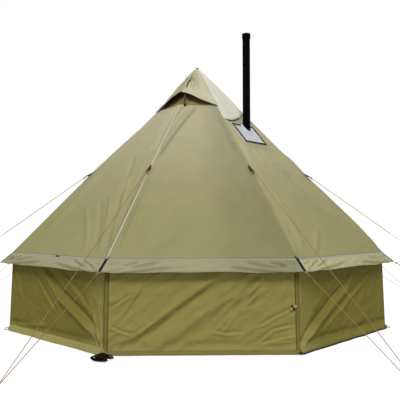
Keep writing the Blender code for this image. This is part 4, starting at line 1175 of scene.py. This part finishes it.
def make_rib_trim():
    """The seams along the ribs, tape on two of them with a painted shadow strip beside it, and a patch where
    each rope's loop is sewn on.
    """
    tapes, seams, patches, shadows = [], [], [], []
    for rib in range(SIDES):
        distances = spread((120,), (0.80 if rib in LOW_HOOD_RIBS else 0.705, EAVE_DOWN - 0.004))
        if rib in TAPED_RIBS:
            rows, normals = rib_rows(rib, distances, RIB_TAPE_ACROSS)
            tapes.append(strip_solid(rows, normals, 0.0030, 0.0012))
            # Painted shadow: a dark strip beside the tape stands for the shadow of a fold
            rows, normals = rib_rows(rib, distances, RIB_SHADOW_ACROSS)
            shadows.append(strip_solid(rows, normals, 0.0008, 0.0010))
        rows, normals = rib_rows(rib, distances, RIB_SEAM_ACROSS)
        rows = [[p + n * rise for p, n, rise in zip(row, normal, RIB_SEAM_RISES)]
                for row, normal in zip(rows, normals)]
        seams.append(strip_solid(rows, normals, 0.0002, 0.0008))
        rows, normals = [], []
        for i, distance in enumerate(spread((16,), (KNOT_DOWN - 0.115, KNOT_DOWN + 0.03))):
            reach = 0.030 * math.sin(math.pi * (0.12 + 0.76 * i / 16)) + 0.006
            row, normal = rib_rows(rib, [distance], (-reach, -reach / 2, 0.0, reach / 2, reach))
            rows += row
            normals += normal
        patches.append(strip_solid(rows, normals, 0.0025, 0.0014))
    merged("rib_tape", tapes, RIB_TAPE)
    merged("rib_tape_painted_shadow", shadows, SEAM_AND_SHADOW)
    merged("rib_seams", seams, ROOF)
    merged("rib_patches", patches, ROOF)


def rope_knot(rib):
    out = (PEAK_HEIGHT - ROPE_KNOT_HEIGHT) / math.tan(RIB_SLOPE)
    return azimuth(rib + 0.5) * out + UP * ROPE_KNOT_HEIGHT


def make_rib_loops():
    """A dark webbing loop on each rib for the upper rope, folded to a triangle, and a cord lock under it."""
    loops, locks = [], []
    for rib in range(SIDES):
        knot, down, off, across = rope_knot(rib), rib_line(rib + 0.5), rib_normal(rib), sideways(rib + 0.5)
        for turn in (-1, 1):
            rows = []
            for share in spread((8,), (0.0, 1.0)):
                rise = 0.003 + (ROPE_STAND_OFF + 0.006) * share ** 1.3
                at = knot + down * (-0.105 + 0.110 * share) + off * rise
                foot = knot + down * (-0.105 + 0.075 * share) + off * 0.0035
                foot += across * turn * 0.016 * math.sin(math.pi * share * 0.5)
                rows.append([at, at.lerp(foot, 0.5) + across * turn * 0.004, foot])
            loops.append(strip_solid(rows, across * turn, 0.0, 0.0016))
        centre = knot + off * (ROPE_STAND_OFF + 0.001) + down * 0.016
        locks.append(tube_solid(ellipse(centre, down * 0.017, across * 0.010, 18), 0.0036, 7, True))
    merged("rib_loops", loops, BROWN)
    merged("rib_cord_locks", locks, ORANGE)


# Hood and awning

# The hood's hem as (turn in faces from the front, distance down the slope)
HOOD_HEM = ((0.5, 0.78), (0.508, 0.89), (0.522, 0.932), (0.56, 0.94), (0.72, 0.936), (0.93, 0.898),
            (1.124, 0.852), (1.33, 0.792), (1.5, 0.742), (1.64, 0.705), (2.0, CAP_HEM), (9.0, CAP_HEM))
HOOD_ENDS = (0.502, 6.498)
HEM_CORD_RADIUS = 0.003
TAB_TURNS = (0.640, 0.668, 0.696)
TAB_DOWN = (-0.006, 0.004, 0.014)


def hood_scallop(turn):
    return math.cos(math.tau * turn * 5.5 + 2.0 * math.sin(turn * 9.0))


def hood_hem(turn):
    """The hem reaches low above the stove jack, and dips a little between the other ribs."""
    for (t0, d0), (t1, d1) in zip(HOOD_HEM, HOOD_HEM[1:]):
        if turn <= t1:
            hem = d0 + (d1 - d0) * (turn - t0) / (t1 - t0)
            break
    hem += 0.003 * hood_scallop(turn) * smoothstep((turn - 0.56) / 0.1)
    return hem - (0.010 * math.cos(math.tau * turn) if turn > 1.6 else 0.0)


def hood_relief(turn, share):
    """The hood's soft creases, as a rise off its flat shape. They grow towards the hem."""
    wave = 0.0030 * (1 + math.sin(turn * 17.0 + 3.0 * share)) * smoothstep(share / 0.4)
    ripple = 0.004 * (1 + wavy(turn * 3.1, share * 3.0, 5.0))
    lip = 0.0012 * (1 + hood_scallop(turn)) * smoothstep((share - 0.80) / 0.2)
    return (wave + ripple) * smoothstep(share / 0.25) * smoothstep((1.06 - share) / 0.3) + lip


def hood_point(turn, distance, lift):
    within = (turn % 1.0 + 0.5) % 1.0 - 0.5
    out, height = down_slope(distance, lift)
    bend = rib_bend(round(turn - within), math.tan(within * STEP) / HALF_SHARE, distance)
    return azimuth(turn) * out / math.cos(within * STEP) + UP * height + bend


def make_hood():
    start, end = HOOD_ENDS
    turns = spread((12, 60, 110), (start, 0.56, 1.64, end))
    rows = [[hood_point(turn, CAP_START + (hood_hem(turn) - CAP_START) * share,
                        CLOTH + LAYER_GAP + hood_relief(turn, share)) for turn in turns]
            for share in spread((34,), (0.0, 1.0))]
    # The hood takes the paler copy of its cloth: painted light
    made = grid_piece("hood_fabric", rows, HOOD_LIT)
    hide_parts("peak_hood")
    path = [hood_point(t, hood_hem(t) + 0.001, 0.0028 + hood_relief(t, 1.0)) for t in turns]
    merged("hood_hem_binding", [tube_solid(path, HEM_CORD_RADIUS, 7)], HOOD_LIT)
    tab = [[hood_point(t, hood_hem(t) + d, 0.0024) for t in TAB_TURNS] for d in TAB_DOWN]
    merged("hood_tab", [strip_solid(tab, roof_normal(FRONT_RIGHT), 0.0004, 0.0024)], WEBBING)


AWNING_AXIS = azimuth(FRONT_LEFT + 0.5 - SIDES / 4)
AWNING_TURN = (Matrix.Translation(PEAK) @ Matrix.Rotation(AWNING_OPEN, 4, AWNING_AXIS)
               @ Matrix.Translation(-PEAK))


def awning_hem(share):
    """How far down the awning's hem lies, at a share of its sweep from its tip."""
    return AWNING_TIP + (CAP_HEM + 0.020 - AWNING_TIP) * abs(share) ** 1.25


def awning_span(side):
    """For a half of the awning: where it starts to lift off its side rib, and where it is lifted in full."""
    sewn = rib_line(FRONT_LEFT + 0.5 + side)
    middle = rib_line(FRONT_LEFT + 0.5)
    start = PEAK + sewn * 0.3
    return start, start + (middle - sewn * sewn.dot(middle)) * AWNING_TIP / math.cos(STEP / 2) * 1.02


AWNING_SPANS = {side: awning_span(side) for side in (-1, 1)}
SLIT_SHARE = 0.060


def awning_point(side, share, way, lift=0.0):
    """A point of one half of the awning, from its middle rib (share 0) to its sewn side rib (share 1)."""
    distance = CAP_START + (awning_hem(share) - CAP_START) * way
    grown = smoothstep(way / 0.4) * smoothstep((1 - share) / 0.15)
    inner = 1 - 0.85 * smoothstep((way - 0.62) / 0.30)
    crumple = wavy(share * 13.0, way * 15.0, 3.0 + side)
    crease = 0.006 * (1 + math.sin(share * 13.0 + 3.0 * way + side))
    crease += 0.022 * (1 - 2 * abs(crumple)) * smoothstep((0.6 - share) / 0.3)
    room = AWNING_ROOM * (distance - CAP_START) / (CAP_HEM - CAP_START)
    room += 0.011 * bell(share, 0.0, 0.28) * grown * inner
    if side > 0:
        pinched = bell(share, 0.34, 0.20) * bell(way, 0.52, 0.20)
        crease += 0.0095 * (1 + math.sin(58.0 * way - 7.0 * share + 2.5 * crumple)) * pinched
        room -= 0.030 * bell(share, SLIT_SHARE, 0.040) * smoothstep((way - 0.15) / 0.2) * inner
    else:
        room += 0.006 * bell(share, 0.150, 0.050) * grown * inner
    room += 0.004 * bell(way, 0.97, 0.03) * smoothstep((1 - share) / 0.1)
    rise = CLOTH + LAYER_GAP + max(0.0, room + (crease * inner + 0.002) * grown) + lift
    flat = hood_point(FRONT_LEFT + 0.5 + side * share, distance, rise)
    start, end = AWNING_SPANS[side]
    span = end - start
    weight = smoothstep((flat - start).dot(span) / span.length_squared)
    return flat.lerp(AWNING_TURN @ flat, weight)


def make_awning():
    """The hood's raised part in two halves, each sewn down at its side rib and lifted along the middle."""
    # The left half takes the darker copy of the hood cloth: painted shade
    for side, label, cloth in ((1, "front", HOOD), (-1, "front_left", HOOD_SHADED)):
        shares = spread((50,), (0.0, 0.998))[::side]
        rows = [[awning_point(side, share, way) for share in shares] for way in spread((72,), (0.0, 1.0))]
        made = grid_piece(f"awning_fabric_{label}", rows, cloth, None)
        path = [awning_point(side, share, 1.002, -0.0010) for share in shares]
        cord = tube_solid(path, HEM_CORD_RADIUS, 7)
        sewn = [made, merged(f"awning_hem_{label}", [cord], HOOD, None)]
        if side > 0:
            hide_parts("vent_awning")
            # Painted shade: a dark strip laid in the slit along the middle rib, where the fold is in shadow
            rows = []
            for way in spread((24,), (0.22, 0.86)):
                half = 0.034 * math.sin(math.pi * (way - 0.18) / 0.72)
                places = [SLIT_SHARE - 0.004 + half * s for s in (-1.0, -0.5, 0.0, 0.5, 1.0)]
                rows.append([awning_point(side, share, way) for share in places])
            seam = strip_solid(rows, AWNING_TURN.to_3x3() @ roof_normal(FRONT), 0.0004, 0.0012)
            sewn.append(merged("awning_slit_painted_shade", [seam], SEAM_AND_SHADOW, None))
        for part in sewn:
            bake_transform(part)


NET_LAP = 0.012
NET_MARGIN = 0.010
NET_DROP = 0.014
NET_SLACK = 0.006
NET_THICK = 0.0012


def make_vent_nets():
    for face, label in ((FRONT, "front"), (FRONT_LEFT, "front_left")):
        rows = []
        for distance in spread((16,), (VENT_TOP - NET_LAP, VENT_BOTTOM + NET_LAP)):
            half = vent_half(max(VENT_TOP, min(VENT_BOTTOM, distance))) + NET_MARGIN
            row = []
            for side in spread((14,), (-half, half)):
                drop = -NET_DROP - CLOTH - NET_SLACK * (1 - (side / half) ** 2)
                bend = rib_bend(face, side / roof_half(distance), distance)
                row.append(on_face(face, side, *down_slope(distance, drop)) + bend)
            rows.append(row)
        made = grid_piece(f"vent_net_{label}", rows, NET, thick=NET_THICK)
        corners = [(sign * vent_half(v), v)
                   for sign, v in ((-1, VENT_TOP), (-1, VENT_BOTTOM), (1, VENT_BOTTOM), (1, VENT_TOP))]
        path = around(corners, 20, lambda u, v: roof_point(face, u, v, 0.0004))
        # Painted shade: the vents' edge cords take the darker cloth
        merged(f"vent_edge_{label}", [tube_solid(path, 0.0035, 6, True)], SHADED)
    # Painted shade: a darker band over the rib between the vents, where the awning shades it
    reach = VENT_MARGIN - 0.008
    band = rib_rows(FRONT_LEFT, spread((24,), (VENT_TOP - 0.02, VENT_BOTTOM + 0.004)),
                    (-reach, -reach / 2, 0.0, reach / 2, reach))
    merged("vent_rib_shade_band", [strip_solid(*band, -0.0006, 0.0007)], SHADED)


def make_tip():
    """The cap over the pole's spike, and the small loop of cord beside it."""
    high = max(v.co.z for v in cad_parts["pole_upper_section"].data.vertices)
    profile = [(0.006, -0.0265), (0.0150, -0.0245), (0.0165, -0.0125), (0.0165, -0.0065), (0.013, -0.002),
               (0.005, 0.0005)]
    merged("peak_cap", [turned_solid(UP * high, UP, profile, 20)], TIP)
    out = azimuth(6.5)
    path = ellipse(hood_point(6.45, 0.16, 0.012) + out * 0.012, out * 0.012, UP * 0.020, 16)
    merged("peak_loop", [tube_solid(path, 0.0016, 6, True)], TAPE)


# Stove jack and flue

FLUE_CENTRE = azimuth(FRONT_RIGHT) * down_slope(FLUE_DOWN)[0]
JACK_RISE = 0.0043
JACK_THICK = 0.0036
BINDING_WIDTH = 0.020
BINDING_LIFTS = (0.0044, 0.0066)
JACK_STITCH_INSETS = (0.025, 0.031)
# The collar's outline as (radius, rise off the roof)
COLLAR = ((0.064, 0.0046), (0.058, 0.0085), (0.046, 0.019), (0.0412, 0.027), (0.0412, 0.024), (0.045, 0.016),
          (0.056, 0.0065), (0.062, 0.0044))


def jack_point(side, distance, lift=0.0):
    return on_face(FRONT_RIGHT, side, *down_slope(distance, lift))


def jack_corners(inset):
    half, long = JACK_WIDTH / 2 - inset, JACK_LENGTH / 2 - inset
    return [(u * half, JACK_CENTRE + v * long) for u, v in ((-1, -1), (-1, 1), (1, 1), (1, -1))]


def make_jack():
    """The heat-proof patch with its round hole, dark binding, stitching and a collar round the flue."""
    half, long = JACK_WIDTH / 2, JACK_LENGTH / 2
    hole = FLUE_RADIUS + 0.0005
    stretch = 1 / math.cos(SLOPE)
    rows = []
    for share in spread((28,), (0.0, 1.0)):
        row = []
        for j in range(96):
            angle = -math.tau * (j + 0.5) / 96
            c, s = math.cos(angle), math.sin(angle)
            down = (JACK_CENTRE + long - FLUE_DOWN) if s > 0 else (FLUE_DOWN - JACK_CENTRE + long)
            reach = min(half / abs(c), down / abs(s))
            inner = Vector((c * hole, FLUE_DOWN + s * hole * stretch))
            at = inner.lerp(Vector((c * reach, FLUE_DOWN + s * reach)), share)
            crease = 0.0012 * wavy(at.x * 22, at.y * 22, 3.0) * math.sin(math.pi * share)
            raised = max(-0.001, 0.0025 * bell(share, 0.0, 0.15) + crease)
            row.append(jack_point(at.x, at.y, JACK_RISE + raised))
        rows.append(row)
    made = grid_piece("jack_fabric", rows, JACK, wrap=True, thick=JACK_THICK)
    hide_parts("stove_jack")

    points, faces = [], []
    for lift in BINDING_LIFTS:
        points += [jack_point(u, v, lift) for inset in (0.0, BINDING_WIDTH) for u, v in jack_corners(inset)]
    for j in range(4):
        k = (j + 1) % 4
        faces += [(8 + j, 8 + k, 12 + k, 12 + j), (j, 4 + j, 4 + k, k), (j, k, 8 + k, 8 + j),
                  (4 + j, 12 + j, 12 + k, 4 + k)]
    merged("jack_binding", [(points, outward(points, faces))], BINDING, soft_edges=30.0)
    threads = []
    for inset in JACK_STITCH_INSETS:
        path = around(jack_corners(inset), 10, lambda u, v: jack_point(u, v, 0.0046))
        threads.append(tube_solid(path, 0.0005, 5, True))
    merged("jack_stitching", threads, STITCH)

    rings = []
    out = azimuth(FRONT_RIGHT)
    for radius, lift in COLLAR:
        rings.append([flat + UP * (PEAK_HEIGHT - flat.dot(out) * math.tan(SLOPE) + lift / math.cos(SLOPE))
                      for flat in ellipse(FLUE_CENTRE, azimuth(FRONT_RIGHT + 2) * radius, out * radius, 40)])
    merged("jack_collar", [loft_solid(rings, True)], JACK)


def make_flue_trim():
    """The seam down the flue and the raised bead at its joint."""
    solids = []
    radius = FLUE_RADIUS + 0.0004
    for height in (FLUE_JOINT + 0.010, FLUE_JOINT + 0.022):
        ring = ellipse(FLUE_CENTRE + UP * height, ACROSS * radius, BEHIND * radius, 40)
        solids.append(tube_solid(ring, 0.0014, 6, True))
    side = Vector((math.cos(2.2), math.sin(2.2), 0.0)) * (FLUE_RADIUS + 0.0002)
    for ends in ((FLUE_SEAM_ENDS[0], FLUE_JOINT - 0.004), (FLUE_JOINT + 0.030, FLUE_SEAM_ENDS[1])):
        line = [FLUE_CENTRE + side + UP * height for height in spread((30,), ends)]
        solids.append(tube_solid(line, 0.0013, 5))
    merged("flue_seam", solids, FLUE)


# Door

def make_door():
    """One cloth from the door's top over the eave to its foot, bent at the eave."""
    half, top, low = DOOR_HALF - DOOR_GAP / 2, DOOR_TOP + DOOR_GAP / 2, DOOR_SILL + DOOR_GAP / 2
    sides = spread((34,), (-half, half))

    def slack(side, long):
        return (1 - (side / half) ** 4) * math.sin(math.pi * long)

    rows = []
    for distance in spread((42,), (top, EAVE_DOWN)):
        long = (distance - top) / (EAVE_DOWN - top)
        row = []
        for side in sides:
            lift = (0.004 * wavy(side * 6, distance * 3, 11) - 0.006) * slack(side, long)
            row.append(on_face(BACK, side, *down_slope(distance, lift)))
        rows.append(row)
    for height in spread((26,), (WALL_TOP, low)):
        long = (WALL_TOP - height) / (WALL_TOP - low)
        row = []
        for side in sides:
            lift = (0.010 * wavy(side * 5, height * 5, 21) - 0.002) * slack(side, long)
            row.append(on_face(BACK, side, wall_out(height) + lift, height))
        rows.append(row)
    made = grid_piece("door_fabric", rows, ROOF, body=None)
    made.data.materials.append(WALL)
    for polygon in made.data.polygons:
        polygon.material_index = 0 if polygon.center.z > WALL_TOP - 0.002 else 1
    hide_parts("door_upper_leaf", "door_lower_leaf")
    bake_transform(made)


ZIP_OFFSET = 0.0055
ZIP_TAPE_EDGES = (0.0012, 0.020)
TOOTH_HALF = 0.0032
TOOTH_HEIGHT = 0.0022
TOOTH_LENGTH = 0.0042


def zip_teeth(points, normal):
    """A zip's coil: small teeth across a narrow line."""
    across = azimuth(BACK + 2)
    solids = []
    for point, after in zip(points, points[1:]):
        ring = [point + across * a * TOOTH_HALF + normal * (0.0004 + b * TOOTH_HEIGHT)
                for a, b in ((-1, 0), (1, 0), (1, 1), (-1, 1))]
        solids.append(loft_solid([ring, [p + (after - point).normalized() * TOOTH_LENGTH for p in ring]]))
    return solids


def make_zips():
    """Zips down both sides of the door's opening, on the fixed cloth, with a tape beside each."""
    teeth, tapes = [], []
    for sign in (-1, 1):
        side = sign * (DOOR_HALF + ZIP_OFFSET)
        downs = spread((150,), (DOOR_TOP + 0.004, EAVE_DOWN - 0.012))
        teeth += zip_teeth([on_face(BACK, side, *down_slope(d, 0.0006)) for d in downs], roof_normal(BACK))
        heights = spread((112,), (WALL_TOP - 0.010, DOOR_SILL + 0.002))
        teeth += zip_teeth([on_face(BACK, side, wall_out(h) + 0.0004, h) for h in heights], wall_normal(BACK))
        edges = [sign * (DOOR_HALF + s) for s in ZIP_TAPE_EDGES]
        downs = spread((30,), (DOOR_TOP, EAVE_DOWN - 0.008))
        rows = [[on_face(BACK, s, *down_slope(d)) for s in edges] for d in downs]
        tapes.append(strip_solid(rows, roof_normal(BACK), 0.0002, 0.0006))
        heights = spread((30,), (WALL_TOP - 0.006, DOOR_SILL))
        rows = [[on_face(BACK, s, wall_out(h), h) for s in edges] for h in heights]
        tapes.append(strip_solid(rows, wall_normal(BACK), 0.0002, 0.0006))
    merged("zip_teeth", teeth, BLACK_PLASTIC, soft_edges=20.0)
    merged("zip_tapes", tapes, WEBBING)
    rows = [[on_face(BACK, side, *down_slope(d)) for d in (DOOR_TOP - 0.022, DOOR_TOP - 0.002)]
            for side in spread((30,), (-DOOR_HALF - 0.02, DOOR_HALF + 0.02))]
    merged("door_top_binding", [strip_solid(rows, roof_normal(BACK), 0.0004, 0.0014)], SKIRT)


# Ropes

def knot_solid(centre, along, size):
    """An overhand knot as one closed strand wound about the rope."""
    side = along.cross(UP).normalized()
    up = side.cross(along)
    path = []
    for i in range(48):
        angle = math.tau * i / 48
        reach = (0.0042 + 0.0014 * math.cos(3 * angle)) * size
        path.append(centre + (side * math.cos(2 * angle) + up * math.sin(2 * angle)) * reach
                    + along * 0.0075 * size * math.sin(3 * angle))
    return tube_solid(path, 0.0023 * size, 6, True)


def make_ropes():
    """Each guy rope: twisted cord from the skirt's corner, round its peg, and up to the loop on the rib."""
    wrap = PEG_RADIUS + ROPE_RADIUS + 0.0005
    knots = []
    for rib in range(SIDES):
        away = azimuth(rib + 0.5)
        low = away * (EAVE_RADIUS + SKIRT_REACH + 0.0003) + UP * (EAVE_HEIGHT - SKIRT_DROP - 0.0003)
        stake = away * STAKE_RADIUS + UP * ROPE_REST_HEIGHT
        path = [low]
        for i in range(9):
            angle = math.pi * (i / 8 - 0.5)
            path.append(stake + (sideways(rib + 0.5) * math.sin(angle) + away * math.cos(angle)) * wrap)
        path += [rope_knot(rib) + rib_normal(rib) * off for off in (ROPE_STAND_OFF, 0.0012)]
        cord = tube_solid(dense(path, 0.012), ROPE_RADIUS, 9, lobes=3, pitch=0.036)
        made = merged(f"guy_cord_{rib + 1}", [cord], ROPE)
        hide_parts(f"guy_rope_{rib + 1}")
        first = (path[1] - low).normalized()
        last = (path[-3] - path[-2]).normalized()
        knots += [knot_solid(low + first * 0.030, first, 1.0), knot_solid(path[-2] + last * 0.022, last, 0.9)]
    merged("rope_knots", knots, ROPE)


# Small fittings

LOOP_FOOT = 0.010
LOOP_REACH = 0.034
LOOP_SHIFTS = (-0.006, 0.006)
LOOP_EDGES = (-0.0055, 0.0055)


def make_peg_loops():
    """Narrow webbing loops with small rings at the foot of each corner."""
    solids, rings = [], []
    for rib in range(SIDES):
        out, across = azimuth(rib + 0.5), sideways(rib + 0.5)
        foot = out * (BASE_RADIUS + LOOP_FOOT)
        for shift in LOOP_SHIFTS:
            rows, normals = [], []
            for angle in spread((14,), (0.0, math.pi)):
                height = 0.005 + 0.009 * (1 - math.cos(angle))
                centre = foot + out * (LOOP_REACH * math.sin(angle)) + UP * height
                rows.append([centre + across * (shift + edge) for edge in LOOP_EDGES])
                normals.append([(out * math.sin(angle) - UP * math.cos(angle)).normalized()] * 2)
            solids.append(strip_solid(rows, normals, 0.0, 0.0014))
        ring = ellipse(foot + out * 0.036 + UP * 0.009, out * 0.009, across * 0.011, 22)
        rings.append(tube_solid(ring, 0.0016, 7, True))
    merged("peg_loops", solids, BROWN)
    merged("peg_rings", rings, FITTING)


def make_strap_bundle():
    """A loose bundle of strap on the ground at the front left corner."""
    out, across = azimuth(FRONT_LEFT + 0.5), sideways(FRONT_LEFT + 0.5)
    middle = out * (BASE_RADIUS + 0.140) + across * 0.066
    dice = random.Random(5)
    bundle = []
    for turn in range(26):
        rows, normals = [], []
        tilt = dice.uniform(-0.5, 0.5)
        size = dice.uniform(0.60, 1.0)
        centre = middle + across * dice.uniform(-0.034, 0.034) + out * dice.uniform(-0.060, 0.060)
        up = across * math.sin(tilt) * 0.3 + UP
        for i in range(25):
            angle = math.tau * 0.93 * i / 24 + turn
            at = centre + across * 0.042 * size * math.cos(angle) + out * 0.022 * math.sin(angle + tilt)
            at += up * (0.027 + 0.022 * math.sin(angle)) * size
            rows.append([at - out * 0.010, at + out * 0.010])
            normals.append([(across * math.cos(angle) + UP * math.sin(angle)).normalized()] * 2)
        bundle.append(strip_solid(rows, normals, 0.0, 0.0018))
    merged("corner_strap_bundle", bundle, WEBBING)


TOGGLE_PLACE = (0.722, 0.366)
TOGGLE_TILT = math.radians(35)


def make_toggle():
    """The roll-up toggle on the front wall, in a short cord loop."""
    side, height = TOGGLE_PLACE
    centre = wall_point(FRONT, side, height, 0.013)
    axis = azimuth(2) * math.cos(TOGGLE_TILT) + UP * math.sin(TOGGLE_TILT)
    across = UP * math.cos(TOGGLE_TILT) - azimuth(2) * math.sin(TOGGLE_TILT)
    half = [(0.001, 0.031), (0.0085, 0.030), (0.0120, 0.026), (0.0115, 0.008), (0.0095, 0.004)]
    profile = [(radius, -along) for radius, along in half] + half[::-1]
    merged("wall_toggle", [turned_solid(centre, axis, profile, 18)], TOGGLE)
    path = rounded([wall_point(FRONT, side - 0.012, height + 0.020, 0.001), centre + across * 0.012,
                    centre + azimuth(FRONT) * 0.0135, centre - across * 0.013,
                    wall_point(FRONT, side + 0.006, height - 0.020, 0.001)])
    again = [p - axis * 0.008 for p in path]
    merged("wall_toggle_cord", [tube_solid(p, 0.0034, 7) for p in (path, again)], WEBBING)


def make_skirt_loops():
    """Small cord loops under the skirt, beside each corner, that tie up a rolled wall."""
    roots = [(face, skirt_point(face, share, 0.72, -0.008)) for face in range(SIDES) if face != BACK
             for share in (-0.90, 0.90)]
    loops = [ellipse(root - UP * 0.020, UP * 0.020, azimuth(face + 2) * 0.013, 14) for face, root in roots]
    merged("skirt_loops", [tube_solid(loop, 0.0018, 6, True) for loop in loops], ROPE)


def make_prop_foot():
    """The strut's rubber foot, which turns with it."""
    angle = SLOPE + PROP_OPEN
    along = Vector((0.0, math.cos(angle), math.sin(angle)))
    normal = Vector((0.0, -math.sin(angle), math.cos(angle)))
    foot = on_face(FRONT, -0.142, *down_slope(0.722, 0.0023))
    levels = ((0.001, 0.0105, 0.0032), (0.004, 0.0125, 0.0046), (0.022, 0.012, 0.0042), (0.026, 0.01, 0.003))
    rings = [[foot + along * distance + ACROSS * a * wide + normal * b * deep
              for a, b in ((-1, -0.6), (1, -0.6), (1, 1), (-1, 1))] for distance, wide, deep in levels]
    merged("prop_foot", [loft_solid(rings)], RUBBER, "prop")


def make_stove_trim():
    """Rivets and vent slats on the stove's door, which turn with it."""
    low, high = (Vector(c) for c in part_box("stove_door"))
    y = low.y + 0.0043
    rivet = [(0.0045, 0.0), (0.0042, 0.0012), (0.0025, 0.0026), (0.0005, 0.003)]
    solids = [turned_solid(Vector((x, y, z)), BEHIND, rivet, 14) for x in (low.x + 0.012, high.x - 0.026)
              for z in (low.z + 0.012, high.z - 0.012)]
    middle = (low.x + high.x) / 2
    for i in range(4):
        height = low.z + 0.030 + i * 0.010
        slat = [[Vector((middle + end * 0.034, y + 0.0001 + b * 0.0022, height + c * 0.0022))
                 for b, c in ((0, -1), (1, -0.4), (1, 0.4), (0, 1))] for end in (-1, 1)]
        solids.append(loft_solid(slat))
    merged("stove_door_trim", solids, FITTING, "stove_door")


KEPT = {
    "pole_foot": (RUBBER, "foot_rubber"),
    "pole_lower_section": (POLE_STEEL, "pole_steel"),
    "pole_upper_section": (POLE_STEEL, "pole_steel"),
    "flue_lower_section": (FLUE, "flue_steel"),
    "flue_upper_section": (FLUE, "flue_steel"),
    "flue_cap": (FLUE, "flue_steel"),
    "flue_damper": (FITTING, "fitting_steel"),
    "stove_body": (STOVE, "stove_steel"),
    "stove_door": (STOVE, "stove_steel"),
    "stove_latch": (FITTING, "fitting_steel"),
    "vent_prop": (STRUT, "black_plastic"),
    "zip_pull_left": (BLACK_PLASTIC, "black_plastic"),
    "zip_pull_right": (BLACK_PLASTIC, "black_plastic"),
    **{f"guy_peg_{n + 1}": (PEG_STEEL, "peg_steel") for n in range(SIDES)},
    **{f"rope_slider_{n + 1}": (ORANGE, "slider_plastic") for n in range(SIDES)},
}


def finish_nodes():
    """Gives the CAD model's own nodes that stay in sight their materials."""
    for name, (finish, slot) in KEPT.items():
        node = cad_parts[name]
        if not node.material_slots:
            node.data.materials.append(finish)
        for held in node.material_slots:
            held.material = finish


# Stage and light

SUNS = (("key_sun", 2.1, 24.0, (0.05, 0.72, -0.69)), ("top_sun", 0.45, 50.0, (-0.10, 0.05, -0.99)))
SKY_STRENGTH = 0.36
FLOOR_GLOW = 0.72
FLOOR_HALF = 60.0


def shown_to(tree, rays, plain, shown):
    """One shader for the light in the scene, and another for the rays that are named."""
    light = add_node(tree, "ShaderNodeLightPath")
    seen = light.outputs[rays[0]]
    for ray in rays[1:]:
        either = add_node(tree, "ShaderNodeMath", {0: seen, 1: light.outputs[ray]}, operation="MAXIMUM")
        seen = either.outputs["Value"]
    return add_node(tree, "ShaderNodeMixShader", {0: seen, 1: plain, 2: shown}).outputs["Shader"]


def make_stage():
    mesh = bpy.data.meshes.new("stage_floor")
    corners = [(x * FLOOR_HALF, y * FLOOR_HALF, 0.0) for x, y in ((-1, -1), (1, -1), (1, 1), (-1, 1))]
    mesh.from_pydata(corners, [], [(0, 1, 2, 3)])
    floor = bpy.data.objects.new("stage_floor", mesh)
    floor.location.z = -0.0005
    bpy.context.collection.objects.link(floor)
    nodes = Nodes("stage_floor_paint", 0.9)
    nodes.set("Base Color", nodes.ramp(nodes.noise(0.8, 2.0), (0.35, 0.35, 0.345), (0.37, 0.37, 0.365)))
    plain = nodes.shader.outputs["BSDF"]
    glow = nodes.add("ShaderNodeEmission", {"Strength": FLOOR_GLOW}).outputs["Emission"]
    both = nodes.add("ShaderNodeAddShader", {0: plain, 1: glow}).outputs["Shader"]
    surface = shown_to(nodes.tree, ("Is Camera Ray", "Is Glossy Ray"), plain, both)
    nodes.tree.links.new(surface, nodes.tree.nodes["Material Output"].inputs["Surface"])
    mesh.materials.append(nodes.material)


def make_light():
    world = bpy.data.worlds.new("studio")
    bpy.context.scene.world = world
    world.use_nodes = True
    tree = world.node_tree
    soft = tree.nodes["Background"]
    soft.inputs["Color"].default_value = (1.0, 1.0, 1.0, 1.0)
    soft.inputs["Strength"].default_value = SKY_STRENGTH
    white = add_node(tree, "ShaderNodeBackground", {"Color": (1.0, 1.0, 1.0, 1.0), "Strength": 1.0})
    surface = shown_to(tree, ("Is Camera Ray", "Is Glossy Ray", "Is Transmission Ray"),
                       soft.outputs["Background"], white.outputs["Background"])
    tree.links.new(surface, tree.nodes["World Output"].inputs["Surface"])
    for name, strength, angle, direction in SUNS:
        lamp = bpy.data.lights.new(name, "SUN")
        lamp.energy = strength
        lamp.angle = math.radians(angle)
        made = bpy.data.objects.new(name, lamp)
        made.rotation_euler = Vector(direction).to_track_quat("-Z", "Y").to_euler()
        bpy.context.collection.objects.link(made)
    bpy.context.scene.view_settings.view_transform = "Standard"


for make in (make_roof, make_walls, make_wall_trim, make_skirt, make_eave_tape, make_corner_straps,
             make_rib_trim, make_rib_loops, make_hood, make_awning, make_vent_nets, make_tip, make_jack,
             make_flue_trim, make_door, make_zips, make_ropes, make_peg_loops, make_strap_bundle, make_toggle,
             make_skirt_loops, make_prop_foot, make_stove_trim, finish_nodes, make_stage, make_light):
    make()
